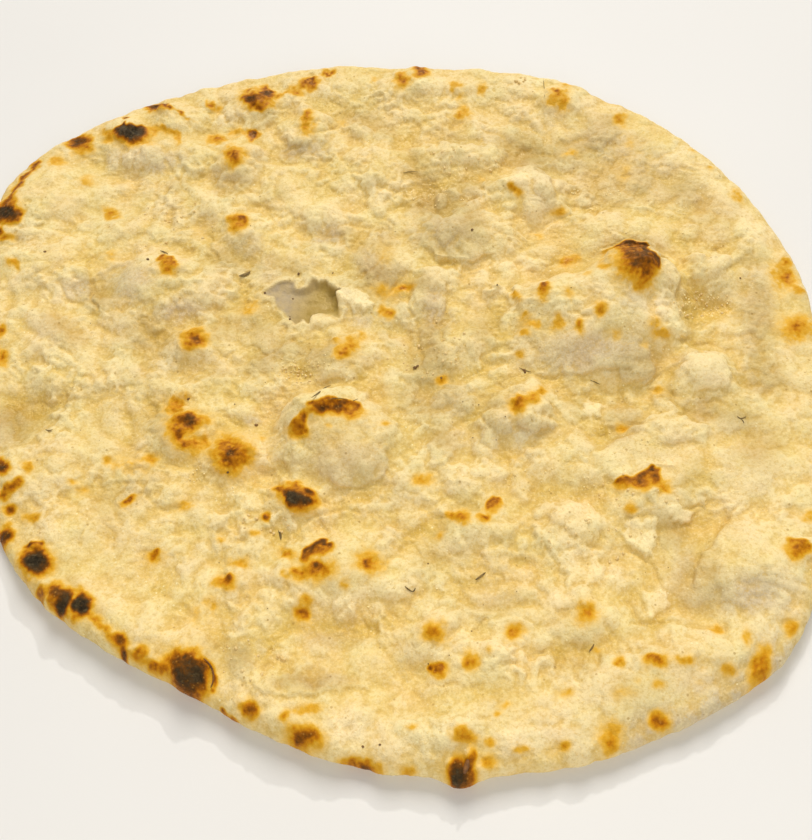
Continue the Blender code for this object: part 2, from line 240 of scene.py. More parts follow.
SCORCH_SPOTS = (
    *ovals(BLACK, (37, 561, 27, 26)),
    *ovals(1.35, (130, 131, 38, 25, 3), (79, 604, 22, 24)),
    *ovals(1.25, (294, 497, 31, 17, 22), (35, 561, 37, 35, -15)),
    *ovals(1.2, (62, 605, 20, 20)),
    *ovals(1.15, (457, 777, 19, 24)),
    *ovals(1.1, (196, 674, 28, 34, -20)),
    *ovals(1.05, (6, 213, 34, 24)),
    *ovals(1.0, (304, 503, 19, 12, 20)),
    *ovals(0.95, (63, 600, 30, 38, -25), (188, 674, 54, 58, -15)),
    *ovals(0.92, (461, 775, 34, 40)),
    *ovals(0.9, (121, 652, 16, 14), (366, 769, 26, 8, 8)),
    *ovals(DARK, (155, 106, 26, 10), (251, 99, 21, 23, -20), (1, 231, 10, 9), (79, 141, 32, 15, -15),
           (188, 420, 28, 17, -10), (310, 493, 10, 17, -35), (4, 536, 22, 26), (2, 467, 19, 21),
           (229, 579, 15, 10), (433, 669, 9, 10)),
    *ovals(0.8, (266, 93, 22, 11), (556, 91, 9, 8), (310, 551, 27, 16, -20), (79, 603, 30, 34)),
    *ovals(0.78, (646, 257, 34, 32)),
    *ovals(0.76, (231, 453, 32, 26), (119, 640, 20, 22)),
    *ovals(0.75, (313, 79, 13, 8, -20), (194, 338, 18, 12)),
    *ovals(0.74, (256, 108, 26, 9, -10), (632, 253, 32, 26), (637, 262, 38, 32), (322, 406, 32, 18),
           (297, 498, 48, 30, 18), (265, 516, 9, 13), (177, 662, 38, 32)),
    *ovals(0.72, (340, 406, 38, 19, 6), (303, 419, 14, 18), (319, 567, 23, 14)),
    *ovals(0.7, (252, 131, 20, 14, 25), (645, 270, 30, 30)),
    *ovals(0.68, (185, 445, 16, 18), (469, 762, 16, 38)),
    *ovals(0.66, (231, 454, 50, 48), (250, 709, 29, 24, 45), (303, 737, 46, 34, 5)),
    *ovals(0.64, (9, 509, 20, 17), (157, 666, 32, 17, 15)),
    *ovals(BROWN, (309, 83, 25, 17, -10), (328, 73, 16, 9), (9, 206, 26, 28, 10), (1, 330, 12, 18),
           (242, 218, 14, 11), (420, 73, 22, 11, 5), (545, 285, 12, 14), (189, 422, 46, 24, -8),
           (312, 411, 15, 13), (293, 484, 18, 10), (280, 489, 14, 11), (302, 613, 18, 19),
           (41, 592, 20, 17), (361, 765, 54, 18, 8), (438, 670, 18, 15)),
    *ovals(0.6, (132, 135, 46, 26, 5), (258, 99, 42, 27), (659, 721, 26, 24)),
    *ovals(0.58, (195, 340, 34, 26, -10)),
    *ovals(0.56, (306, 117, 13, 16), (298, 429, 27, 24), (519, 405, 30, 22, -30), (367, 561, 15, 14),
           (139, 653, 20, 16)),
    *ovals(0.54, (234, 156, 29, 27), (798, 548, 32, 29, 20)),
    *ovals(0.52, (404, 287, 30, 13, -8), (494, 503, 27, 19, -35), (657, 661, 29, 19, -15)),
    *ovals(0.5, (212, 106, 20, 10, 28), (797, 328, 30, 24), (178, 432, 34, 36), (352, 410, 30, 20, 15),
           (484, 517, 18, 15, -20), (463, 517, 21, 18), (323, 548, 30, 17, -15), (315, 570, 52, 29),
           (34, 562, 48, 44, -20), (96, 618, 18, 16, 20), (514, 632, 23, 23), (763, 666, 14, 36, 8)),
    *ovals(0.48, (580, 325, 15, 17), (787, 277, 24, 24), (624, 483, 32, 16), (155, 555, 25, 20),
           (226, 582, 30, 20, -10)),
    *ovals(0.47, (218, 138, 28, 12), (568, 261, 26, 16, -5), (353, 343, 20, 12, -25),
           (369, 562, 37, 29, 5), (761, 668, 27, 60, 12)),
    *ovals(0.46, (403, 81, 26, 18, -10), (543, 289, 20, 27, 15), (387, 312, 18, 16),
           (343, 351, 24, 22, -20), (190, 445, 42, 26), (126, 500, 26, 15, -28), (105, 629, 16, 14),
           (619, 664, 14, 16)),
    *ovals(0.45, (168, 265, 28, 25, 30), (299, 573, 22, 22), (68, 588, 26, 14, 15)),
    *ovals(ORANGE, (296, 92, 26, 14, -10), (6, 238, 24, 10), (13, 264, 22, 8, 35), (2, 358, 16, 28),
           (238, 222, 28, 24, -20), (515, 190, 19, 15, 20), (634, 264, 56, 48), (176, 405, 22, 20),
           (452, 515, 18, 12, 10), (441, 379, 15, 11), (663, 486, 19, 15, 20), (289, 551, 22, 18),
           (208, 684, 18, 32, 10), (284, 715, 16, 20)),
    *ovals(0.42, (631, 508, 16, 15), (642, 484, 44, 18), (465, 736, 35, 19, 4)),
    *ovals(0.41, (434, 632, 33, 29, -10)),
    *ovals(0.4, (109, 136, 20, 16), (111, 212, 24, 14, 15), (600, 308, 19, 19), (70, 604, 50, 40, 30),
           (27, 467, 17, 15), (33, 518, 22, 15), (461, 770, 46, 46), (587, 612, 34, 32),
           (791, 626, 17, 23), (563, 745, 19, 16)),
    *ovals(0.39, (685, 660, 28, 15)),
    *ovals(0.38, (463, 113, 20, 18), (621, 118, 18, 16), (643, 284, 26, 22), (796, 327, 46, 38),
           (204, 440, 17, 17), (531, 398, 28, 18, -40), (622, 427, 20, 16), (407, 770, 26, 13),
           (470, 662, 20, 26), (610, 738, 36, 46, 15)),
    *ovals(0.37, (558, 99, 34, 29, 10)),
    *ovals(0.36, (279, 96, 20, 10), (307, 124, 22, 34), (785, 264, 22, 24, -30), (797, 290, 24, 14, 35),
           (172, 410, 26, 22), (150, 458, 28, 16), (542, 390, 16, 11, -20), (188, 672, 66, 62),
           (489, 762, 19, 17), (716, 627, 17, 11)),
    *ovals(GOLD, (151, 130, 22, 16), (84, 149, 32, 17, -10), (57, 161, 22, 12, -10), (456, 85, 19, 11),
           (535, 324, 13, 14), (108, 460, 14, 11), (247, 457, 18, 15), (421, 480, 26, 16),
           (306, 602, 20, 22), (491, 744, 19, 17), (522, 750, 24, 12), (499, 713, 9, 9)),
    *ovals(0.32, (658, 391, 16, 13), (729, 670, 22, 22)),
    *ovals(0.3, (237, 133, 22, 11), (482, 89, 12, 18), (566, 85, 20, 8, -10), (737, 195, 21, 16, 40),
           (604, 265, 22, 13), (519, 298, 21, 13), (557, 323, 15, 21), (660, 333, 26, 20),
           (527, 314, 16, 11, 20), (524, 333, 17, 11), (329, 427, 8, 8), (306, 709, 48, 14),
           (240, 563, 32, 15), (661, 685, 17, 13), (807, 518, 20, 19), (596, 650, 13, 10, -20)),
    *ovals(0.28, (560, 212, 19, 16), (521, 354, 21, 13), (345, 584, 15, 21), (256, 535, 18, 12),
           (184, 506, 24, 17)),
    *ovals(0.26, (783, 275, 38, 52, -15), (288, 575, 13, 10), (221, 541, 16, 10), (413, 726, 16, 11),
           (568, 692, 20, 14)),
    *ovals(FAINT, (87, 182, 26, 16, 10), (570, 153, 22, 16), (654, 322, 22, 20), (385, 424, 15, 10),
           (72, 483, 16, 11), (81, 491, 14, 11), (506, 705, 16, 11), (747, 638, 17, 32)),
    *ovals(0.22, (383, 291, 34, 26), (361, 335, 16, 14), (338, 342, 18, 14), (250, 308, 26, 22),
           (184, 396, 15, 14), (439, 534, 17, 17), (636, 678, 12, 11)),
    *ovals(0.2, (374, 78, 14, 11), (460, 97, 12, 11), (692, 151, 12, 8, 20), (711, 170, 12, 8),
           (537, 236, 20, 14), (568, 292, 20, 20), (617, 331, 19, 14), (645, 344, 13, 17),
           (526, 322, 26, 26), (263, 440, 11, 11), (210, 603, 20, 16), (488, 652, 14, 11)),
    *ovals(0.18, (112, 256, 18, 18), (343, 122, 14, 12), (588, 274, 14, 11), (622, 692, 36, 16)),
    *ovals(0.16, (480, 178, 20, 12), (630, 141, 18, 20), (625, 234, 20, 13), (125, 465, 64, 22, 5),
           (197, 615, 24, 21)),
    *ovals(0.14, (701, 683, 15, 10)),
    *ovals(0.12, (625, 172, 28, 38), (385, 255, 28, 32)),
)

SCORCH_LINES = (
    Line(3, BROWN, ((2, 206), (10, 194), (19, 182), (38, 163))),
    Line(2.4, GOLD, ((272, 95), (290, 93), (303, 88))),
    Line(4, 0.55, ((0, 498), (8, 490), (19, 480))),
    Line(4, GOLD, ((84, 610), (101, 627), (118, 645), (140, 658), (160, 669), (180, 678))),
    Line(1.6, 0.8, ((217, 708), (226, 715), (233, 720))),
    Line(1.2, 0.6, ((161, 251), (168, 254))),
    Line(1.1, 0.95, ((24, 545), (30, 543), (37, 543))),
    Line(1.2, 0.8, ((202, 656), (209, 662), (213, 672), (213, 684), (208, 694))),
    Line(1.2, 0.9, ((176, 688), (184, 694), (190, 697))),
)

# Lines along which the crust stays clean between burns.
CLEAN_LINES = (
    Line(2.2, 0.9, ((308.5, 427), (310, 420), (313.5, 412))),
    Line(2.6, 0.75, ((70, 610), (72, 602), (74, 592))),
    Line(2.4, 0.7, ((441, 770), (446, 763), (453, 757))),
    Line(1.6, 0.5, ((654, 485), (659, 482), (663, 479))),
    Line(1.6, 0.6, ((207, 663), (210, 671), (211, 682), (207, 690))),
    Line(1.4, 0.5, ((286, 487), (292, 484), (299, 484))),
)

# Burns that end sharply at an edge. The side on the left, walking along the line, is clean: the
# strength at the edge, and the distance in pixels over which it fades on the other side.
Crest = namedtuple("Crest", "strength depth points")
CRESTS = (
    Crest(1.0, 7, ((110, 134), (116, 126), (124, 121), (133, 121), (141, 125), (148, 132))),
    Crest(0.8, 6, ((142, 108), (150, 103), (160, 103), (172, 106), (182, 109), (190, 116), (197, 127))),
    Crest(0.4, 8, ((157, 124), (170, 125), (180, 131), (186, 143))),
    Crest(0.5, 8, ((152, 258), (160, 255), (168, 256), (176, 262), (181, 269))),
    Crest(0.85, 7, ((244, 131), (249, 127), (254, 128), (262, 137))),
    Crest(0.40, 5, ((600, 254), (606, 250), (612, 246), (622, 243), (635, 242), (645, 247),
                    (652, 253), (658, 260), (664, 269))),
    Crest(0.95, 7, ((611, 247), (617, 244), (628, 242), (640, 243), (648, 248), (656, 256),
                    (662, 266))),
    Crest(0.7, 8, ((304, 406), (311, 399), (325, 398), (345, 399), (356, 402), (366, 409))),
    Crest(0.5, 6, ((286, 429), (293, 421), (301, 414), (306, 411))),
    Crest(0.9, 6, ((297, 559), (302, 551), (309, 546), (318, 543), (327, 540), (336, 543))),
    Crest(0.72, 9, ((612, 484), (619, 478), (628, 477), (638, 479), (648, 474), (653, 473),
                    (659, 476), (666, 484))),
    Crest(1.0, 3, ((634, 479), (645, 474), (653, 472), (660, 476))),
    Crest(0.55, 10, ((783, 540), (790, 536), (800, 536), (807, 541), (812, 552))),
    Crest(0.95, 3, ((646, 662), (651, 657), (656, 655), (662, 657))),
    Crest(0.7, 7, ((483, 508), (489, 499), (494, 496), (500, 497), (505, 504))),
    Crest(0.95, 3, ((149, 555), (154, 550), (159, 549), (163, 553))),
    Crest(0.8, 5, ((116, 505), (123, 498), (130, 494), (137, 493))),
    Crest(0.6, 6, ((536, 291), (541, 283), (547, 279), (550, 284))),
)

# Butter that has soaked in or lies on the crust: warmer, darker and glossier.
BUTTER_SPOTS = (
    *ovals(1.2, (427, 198, 24, 30), (250, 308, 26, 24)),
    *ovals(1.1, (455, 200, 30, 22)),
    *ovals(1.0, (437, 186, 70, 56, -10), (556, 560, 12, 30), (705, 300, 60, 34), (262, 310, 50, 30),
           (330, 357, 50, 20), (240, 658, 34, 34), (8, 426, 50, 44), (432, 195, 44, 34)),
    *ovals(0.9, (155, 345, 26, 50, -35), (30, 406, 90, 26, -8), (465, 262, 66, 12, -3),
           (560, 480, 110, 36, -4), (310, 682, 90, 20), (452, 445, 40, 10), (456, 200, 34, 24)),
    *ovals(0.8, (372, 472, 56, 28, -20), (240, 662, 40, 22, 20), (272, 255, 16, 26), (290, 352, 70, 20),
           (376, 272, 40, 40)),
    *ovals(0.7, (320, 300, 70, 40, 10), (700, 565, 64, 60), (676, 535, 44, 44), (184, 187, 22, 10, 20),
           (590, 645, 60, 30)),
    *ovals(0.6, (700, 302, 70, 34, 10), (560, 480, 120, 36, -8), (60, 380, 90, 50, 30),
           (345, 628, 80, 26), (320, 176, 14, 30), (640, 640, 130, 16), (500, 600, 70, 24),
           (442, 184, 66, 26)),
    *ovals(0.55, (330, 370, 90, 26), (150, 300, 90, 60), (600, 440, 110, 30, 8)),
    *ovals(0.5, (620, 180, 110, 50, -12), (690, 225, 90, 40, 30), (700, 470, 90, 50),
           (660, 370, 60, 30), (320, 470, 30, 20), (386, 252, 32, 34)),
    *ovals(0.45, (250, 640, 120, 60, 20), (420, 520, 130, 40, 5), (640, 600, 120, 40, 10)),
    *ovals(0.4, (360, 600, 140, 60, 10), (480, 360, 60, 60), (500, 570, 160, 60, 10),
           (180, 230, 140, 40, 20)),
    *ovals(0.35, (440, 720, 260, 40, 6)),
)

# Smooth skin over domes and pads.
SKIN_SPOTS = (
    *ovals(0.9, (720, 570, 170, 110), (600, 340, 150, 70), (345, 460, 120, 90), (125, 286, 70, 54),
           (90, 195, 150, 70, 20)),
    *ovals(0.8, (600, 270, 190, 70), (80, 200, 150, 60, 20), (770, 330, 110, 230),
           (700, 555, 200, 120)),
    *ovals(0.7, (700, 380, 110, 70, 10), (650, 690, 150, 60, -10), (560, 420, 100, 40),
           (450, 225, 70, 50), (770, 440, 110, 120), (30, 300, 80, 120), (350, 560, 130, 90),
           (560, 480, 120, 36)),
    *ovals(0.6, (80, 560, 120, 60, 30), (500, 160, 110, 50, 10), (260, 170, 110, 60),
           (610, 130, 120, 50, 10), (330, 640, 110, 50), (690, 190, 150, 70, 30), (480, 440, 110, 30)),
    *ovals(0.5, (140, 560, 180, 120, 25), (600, 620, 160, 60), (640, 225, 130, 50),
           (110, 440, 120, 50, -20), (40, 320, 80, 60, 30), (380, 690, 230, 60, 5)),
)

# Grey patches of painted shade, on faces and slopes that the key light doesn't reach.
PAINTED_SHADE_GREY_SPOTS = (
    *ovals(0.9, (327, 234, 28, 17), (255, 421, 24, 13)),
    *ovals(0.8, (305, 148, 70, 28), (530, 432, 66, 28), (437, 315, 34, 60), (262, 645, 16, 16),
           (700, 406, 40, 24, 20), (124, 285, 56, 48), (358, 318, 34, 18), (378, 270, 40, 34)),
    *ovals(0.7, (150, 160, 96, 30), (540, 197, 40, 26, 30), (445, 400, 70, 40), (760, 590, 60, 50),
           (79, 290, 26, 28), (600, 350, 130, 44), (350, 376, 20, 13), (700, 715, 70, 40, -20),
           (605, 140, 90, 50, 20)),
    *ovals(0.6, (178, 312, 60, 26), (225, 182, 50, 26), (240, 255, 60, 50), (490, 140, 90, 20),
           (366, 260, 30, 24), (700, 365, 60, 40), (400, 500, 60, 26), (560, 365, 60, 30),
           (280, 355, 60, 26, -20), (430, 350, 40, 70), (172, 430, 30, 40), (756, 300, 40, 90, 20),
           (760, 375, 50, 40), (735, 420, 60, 24), (640, 372, 60, 24), (240, 660, 36, 30),
           (310, 682, 100, 16), (684, 560, 30, 60), (690, 190, 50, 40, 40), (330, 352, 60, 20, -10),
           (10, 428, 40, 40), (40, 322, 60, 26, 35)),
    *ovals(0.5, (455, 232, 80, 34), (395, 320, 40, 60), (360, 470, 110, 60), (500, 435, 110, 40),
           (720, 590, 130, 50), (470, 205, 50, 30), (650, 170, 90, 60, 40), (445, 215, 70, 60),
           (250, 265, 90, 30, 10), (120, 318, 70, 46, 20), (180, 370, 46, 36), (330, 640, 90, 24),
           (660, 500, 50, 40), (500, 600, 60, 20), (550, 160, 90, 50, 10), (95, 300, 30, 30),
           (625, 425, 40, 44), (640, 245, 40, 24, 20), (135, 338, 50, 20, 30)),
    *ovals(0.4, (180, 180, 40, 30), (530, 135, 60, 60), (745, 460, 60, 36, 10), (445, 440, 60, 50),
           (230, 445, 40, 30)),
)

# Bluish-grey painted shade on the outer side of the near rim and on other faces turned from the key light,
# and a few lilac films.
COOL_FILM_AND_SHADE_SPOTS = (
    *ovals(1.0, (325, 236, 34, 17), (725, 700, 130, 50, -32), (778, 655, 60, 70, -45),
           (328, 234, 30, 18)),
    *ovals(0.9, (356, 318, 40, 13, 20), (655, 728, 120, 40, -22), (254, 421, 26, 14, 20)),
    *ovals(0.8, (80, 290, 30, 27)),
    *ovals(0.7, (758, 592, 100, 50, -10), (525, 434, 60, 24)),
    *ovals(0.6, (180, 308, 44, 24), (442, 203, 15, 13)),
    *ovals(0.5, (130, 280, 56, 36), (446, 234, 80, 36), (79, 290, 26, 28), (600, 355, 130, 40),
           (640, 300, 60, 40), (150, 160, 90, 24), (300, 152, 60, 20), (435, 300, 30, 50),
           (370, 262, 30, 20), (540, 740, 120, 26, -8)),
    *ovals(0.4, (280, 295, 40, 20)),
    *ovals(0.3, (480, 440, 60, 30)),
)

# Crust made paler: partly pale skin, partly painted light where the relief should catch more light.
PALE_AND_PAINTED_LIGHT_SPOTS = (
    *ovals(1.0, (365, 189, 46, 28), (668, 326, 40, 50), (660, 461, 40, 20), (342, 600, 110, 36),
           (350, 732, 70, 50), (520, 736, 90, 28)),
    *ovals(0.9, (135, 170, 40, 34), (62, 296, 70, 44), (520, 181, 48, 30), (326, 379, 44, 16, -10),
           (662, 248, 30, 24), (696, 382, 40, 44), (266, 461, 46, 44), (202, 676, 60, 34, 8),
           (456, 730, 56, 24)),
    *ovals(0.8, (20, 236, 34, 40), (560, 182, 60, 50), (490, 198, 30, 30), (26, 484, 44, 30),
           (790, 600, 40, 60), (125, 166, 34, 28), (182, 171, 44, 20, 30), (345, 300, 56, 26, 45),
           (476, 356, 36, 24), (482, 266, 44, 22, -20), (531, 266, 44, 22), (650, 298, 40, 44),
           (600, 248, 36, 18), (670, 258, 16, 36, -20), (500, 482, 28, 18), (30, 386, 40, 22),
           (205, 361, 30, 26), (284, 420, 28, 56), (332, 491, 56, 22), (431, 511, 34, 26),
           (392, 590, 60, 22), (230, 700, 60, 22, 20), (292, 711, 66, 22), (412, 746, 36, 36),
           (572, 106, 46, 20)),
    *ovals(0.7, (675, 166, 60, 34), (690, 690, 60, 40), (452, 162, 84, 18, -6), (326, 330, 34, 16),
           (700, 441, 96, 24, -4), (762, 502, 46, 54), (470, 541, 44, 34), (38, 490, 34, 40, 30),
           (42, 535, 76, 26, 8), (168, 571, 34, 34), (268, 584, 66, 18, 25), (500, 656, 46, 34),
           (440, 656, 90, 22), (562, 721, 66, 24, -10), (735, 205, 30, 130, -38)),
    *ovals(0.6, (536, 216, 46, 50), (296, 216, 96, 40), (166, 206, 46, 20), (440, 286, 28, 22),
           (556, 311, 36, 28), (601, 378, 36, 18), (786, 472, 34, 44), (58, 362, 70, 22, 15),
           (30, 322, 34, 50), (230, 410, 28, 18), (166, 616, 46, 24), (270, 626, 46, 20, -20),
           (452, 621, 46, 24), (540, 86, 60, 18), (440, 86, 70, 16), (286, 136, 30, 24),
           (775, 270, 24, 60, -15), (640, 552, 70, 24), (720, 502, 66, 34), (400, 200, 30, 20)),
    *ovals(0.5, (318, 528, 60, 50), (470, 620, 60, 60), (595, 700, 60, 40), (622, 462, 44, 40),
           (185, 395, 66, 12), (430, 682, 90, 18), (776, 620, 46, 80, 10), (560, 561, 66, 22),
           (610, 592, 60, 20), (545, 110, 60, 20), (20, 280, 40, 50)),
    *ovals(0.4, (86, 552, 36, 36), (520, 556, 56, 16), (480, 100, 80, 16), (60, 230, 90, 30)),
    *ovals(0.3, (150, 250, 80, 30)),
)

# Painted shade: patches over hollows and slopes made a little darker and deeper in colour, where the relief
# should be shaded.
PAINTED_SHADE_SPOTS = (
    *ovals(1.0, (380, 287, 50, 24), (436, 205, 70, 26), (376, 274, 50, 48), (15, 420, 70, 56),
           (240, 660, 30, 34), (310, 681, 96, 24), (530, 152, 76, 40, 25)),
    *ovals(0.9, (422, 285, 36, 24), (70, 582, 22, 16), (95, 298, 40, 30), (62, 326, 70, 24, 40),
           (332, 357, 48, 22), (430, 328, 44, 22), (720, 412, 96, 26, 8), (442, 440, 30, 28),
           (670, 532, 40, 28)),
    *ovals(0.8, (340, 350, 50, 22), (262, 362, 36, 34), (420, 170, 36, 50, -40), (475, 186, 50, 24),
           (104, 300, 30, 24), (470, 225, 34, 50), (225, 260, 56, 26), (155, 332, 66, 26, 40),
           (292, 350, 84, 26), (485, 326, 34, 46), (426, 362, 56, 60), (640, 362, 64, 26),
           (668, 395, 44, 18), (760, 322, 44, 96), (766, 376, 54, 44), (575, 150, 54, 32),
           (360, 116, 56, 26, 8)),
    *ovals(0.7, (348, 284, 40, 20), (385, 240, 26, 50), (262, 330, 40, 50), (426, 240, 44, 22),
           (225, 326, 66, 32, -20), (420, 405, 64, 36, 20), (762, 446, 54, 56), (690, 487, 36, 18),
           (222, 646, 60, 18), (335, 636, 54, 18), (455, 136, 30, 18), (386, 132, 30, 20),
           (680, 186, 44, 46), (262, 528, 20, 24), (640, 250, 56, 26, 10)),
    *ovals(0.6, (448, 236, 90, 44), (160, 416, 34, 40), (320, 308, 30, 26), (445, 250, 66, 16),
           (365, 254, 44, 30), (285, 266, 66, 22), (256, 310, 34, 34), (290, 306, 28, 44),
           (452, 396, 34, 44), (620, 420, 44, 66), (578, 405, 28, 28), (64, 405, 24, 16),
           (335, 427, 76, 34), (135, 375, 46, 24), (214, 374, 34, 16), (600, 130, 46, 34),
           (230, 186, 34, 34), (340, 236, 54, 18), (495, 402, 80, 20), (750, 258, 40, 26),
           (430, 562, 34, 34), (475, 505, 46, 18), (435, 535, 34, 16), (650, 661, 34, 18),
           (20, 236, 30, 20)),
    *ovals(0.5, (140, 340, 50, 60, 40), (605, 180, 130, 66), (716, 212, 66, 46), (182, 186, 34, 16),
           (118, 495, 70, 60, -30), (316, 566, 34, 24), (582, 736, 36, 18), (500, 702, 50, 16),
           (570, 626, 66, 22), (470, 610, 60, 24), (505, 608, 50, 18)),
    *ovals(0.4, (700, 575, 60, 90), (628, 700, 44, 60), (580, 660, 66, 36), (300, 152, 60, 20),
           (150, 470, 40, 46), (540, 330, 40, 16)),
    *ovals(0.3, (100, 430, 34, 50), (272, 196, 30, 20)),
)

# Raised flakes, pads and nodules; strength is the rise in millimetres.
FLAKE_SPOTS = (
    Spot(250, 503, 26, 20, 0, 0.5), Spot(272, 516, 14, 12, 0, 0.8), Spot(290, 525, 15, 13, 0, 0.8),
    Spot(440, 203, 15, 14, 0, 0.9), Spot(406, 183, 13, 12, 0, 0.5), Spot(584, 202, 26, 16, 0, 0.9),
    Spot(439, 587, 15, 10, 0, 0.6), Spot(135, 311, 14, 12, 0, 0.4), Spot(280, 657, 20, 16, 0, 0.6),
    Spot(237, 630, 22, 17, 0, 0.6), Spot(350, 376, 19, 13, 0, 0.6), Spot(420, 345, 20, 17, 0, 0.4),
    Spot(366, 256, 30, 22, 10, 0.35), Spot(560, 540, 30, 24, 0, 0.4), Spot(520, 575, 34, 22, 10, 0.4),
    Spot(400, 560, 24, 18, 0, 0.35), Spot(420, 610, 30, 20, 0, 0.35), Spot(210, 580, 26, 20, 0, 0.35),
    Spot(520, 440, 34, 20, 0, 0.4), Spot(470, 470, 34, 20, -8, 0.35), Spot(260, 340, 26, 18, 0, 0.35),
    Spot(290, 350, 20, 16, 0, 0.4), Spot(220, 370, 30, 20, 10, 0.35), Spot(560, 600, 26, 18, 0, 0.35),
    Spot(610, 575, 26, 20, 0, 0.4), Spot(300, 200, 34, 24, 0, 0.35), Spot(200, 190, 36, 22, 20, 0.3),
    Spot(480, 310, 26, 30, 10, 0.4), Spot(505, 300, 24, 26, -10, 0.35), Spot(450, 545, 30, 22, 0, 0.35),
)
DOME_SPOTS = (
    Spot(441.5, 204, 15, 12, 0, 1.6),
    Spot(709, 272, 48, 44, 0, 1.0), Spot(33, 543, 16, 12, 0, 0.8),
    Spot(470, 757, 12, 20, 0, 1.2), Spot(450, 763, 12, 14, 0, 0.8), Spot(206, 676, 12, 30, 0, 0.8),
    Spot(452, 190, 104, 48, 0, 2.2),
    Spot(350, 746, 120, 34, 0, 0.8), Spot(525, 742, 130, 30, -8, 0.8), Spot(290, 722, 80, 26, 12, 0.7),
)

# Hollows behind crests that are filled up to a level, in millimetres.
FILL_SPOTS = (Spot(652, 462, 120, 62, 0, 8.7),)

# Flat flakes with a crisp edge: the rise in millimetres, how pale they are, and their corners.
Sheet = namedtuple("Sheet", "rise pale corners")
SHEETS = (
    Sheet(0.9, 0.9, ((664, 508), (672, 503), (690, 508), (695, 515), (688, 523), (682, 529),
                     (672, 523))),
    Sheet(0.8, 0.7, ((690, 492), (700, 488), (704, 498), (700, 508), (692, 505))),
    Sheet(1.0, 0.8, ((619, 533), (625, 523), (640, 517), (655, 517), (657, 536), (654, 557),
                     (645, 553), (628, 546))),
    Sheet(1.2, 0.9, ((339, 293), (350, 291), (361, 292), (369, 299), (376, 303), (371, 311),
                     (362, 309), (352, 312), (345, 304), (339, 304))),
    Sheet(0.5, 0.5, ((105, 362), (114, 353), (134, 355), (140, 368), (134, 384), (118, 389),
                     (107, 378))),
    Sheet(0.9, 0.7, ((583, 404), (590, 399), (602, 401), (606, 411), (600, 420), (584, 417))),
    Sheet(0.6, 0.4, ((679, 366), (690, 353), (715, 350), (728, 358), (733, 372), (728, 384),
                     (712, 389), (690, 381))),
    Sheet(0.7, 0.6, ((312, 486), (335, 485), (345, 497), (338, 506), (322, 502))),
    Sheet(0.8, 0.3, ((562, 560), (570, 550), (585, 547), (598, 553), (605, 567), (600, 581),
                     (585, 587), (567, 586), (560, 573))),
    Sheet(0.5, 0.3, ((556, 507), (566, 498), (590, 499), (600, 512), (592, 532), (572, 536),
                     (558, 524))),
    Sheet(0.6, 0.5, ((642, 592), (655, 586), (668, 590), (670, 606), (658, 616), (645, 612))),
)

# Folds stand up and creases go down; strength is in millimetres.
FOLDS = (
    Line(2.5, 0.9, ((650, 247), (664, 253), (674, 265), (678, 278), (676, 288))),
    Line(6, 0.9, ((298, 398), (311, 383), (327, 374), (344, 372), (370, 389))),
    Line(5, 0.7, ((11, 452), (43, 435), (87, 415))),
    Line(8, -0.9, ((20, 322), (46, 338), (78, 358))),
    Line(8, 0.8, ((16, 352), (42, 374), (74, 396))),
    Line(2, -0.7, ((87, 262), (92, 283), (91, 297), (95, 307))),
    Line(2, -0.5, ((165, 163), (174, 176), (182, 186), (192, 190))),
    Line(2, -0.3, ((35, 275), (50, 295), (55, 310), (62, 338))),
    Line(1.5, -0.3, ((395, 110), (405, 118), (412, 128))),
    Line(2, -0.5, ((476, 287), (481, 300))),
    Line(2.5, -0.6, ((449, 283), (452, 298), (449, 315), (441, 327), (440, 342))),
    Line(2.5, -0.6, ((411, 283), (408, 300), (414, 320), (420, 345), (423, 365))),
    Line(2, -0.4, ((433, 293), (438, 320))),
    Line(2, -0.5, ((545, 397), (560, 412), (572, 424), (590, 432), (602, 434))),
    Line(2, -0.4, ((462, 421), (480, 415), (488, 424), (495, 430))),
    Line(2, -0.6, ((668, 393), (678, 404), (688, 414), (700, 420))),
    Line(2, -0.35, ((690, 345), (715, 346), (740, 352), (752, 368), (760, 385))),
    Line(1.5, -0.3, ((62, 497), (60, 515), (56, 530))),
    Line(1.5, -0.3, ((80, 510), (88, 520), (82, 535), (80, 545))),
    Line(1.5, -0.3, ((105, 520), (113, 530), (115, 548))),
    Line(2, -0.4, ((385, 530), (400, 543), (415, 545), (423, 560), (421, 575))),
    Line(2, -0.4, ((478, 443), (490, 450), (500, 455), (510, 463))),
    Line(3, -0.7, ((546, 546), (556, 558), (556, 572))),
    Line(2, -0.6, ((622, 547), (640, 554), (652, 563), (662, 580))),
    Line(2, -0.5, ((628, 602), (635, 615), (642, 623), (658, 630))),
    Line(2.5, -0.7, ((631, 624), (668, 621), (723, 627))),
    Line(2, -0.3, ((430, 715), (460, 718), (490, 716))),
    Line(2, -0.3, ((545, 668), (570, 673), (600, 670), (640, 669))),
    Line(2, -0.4, ((590, 380), (600, 385), (612, 396))),
    Line(2, -0.4, ((255, 662), (265, 655), (272, 648))),
)

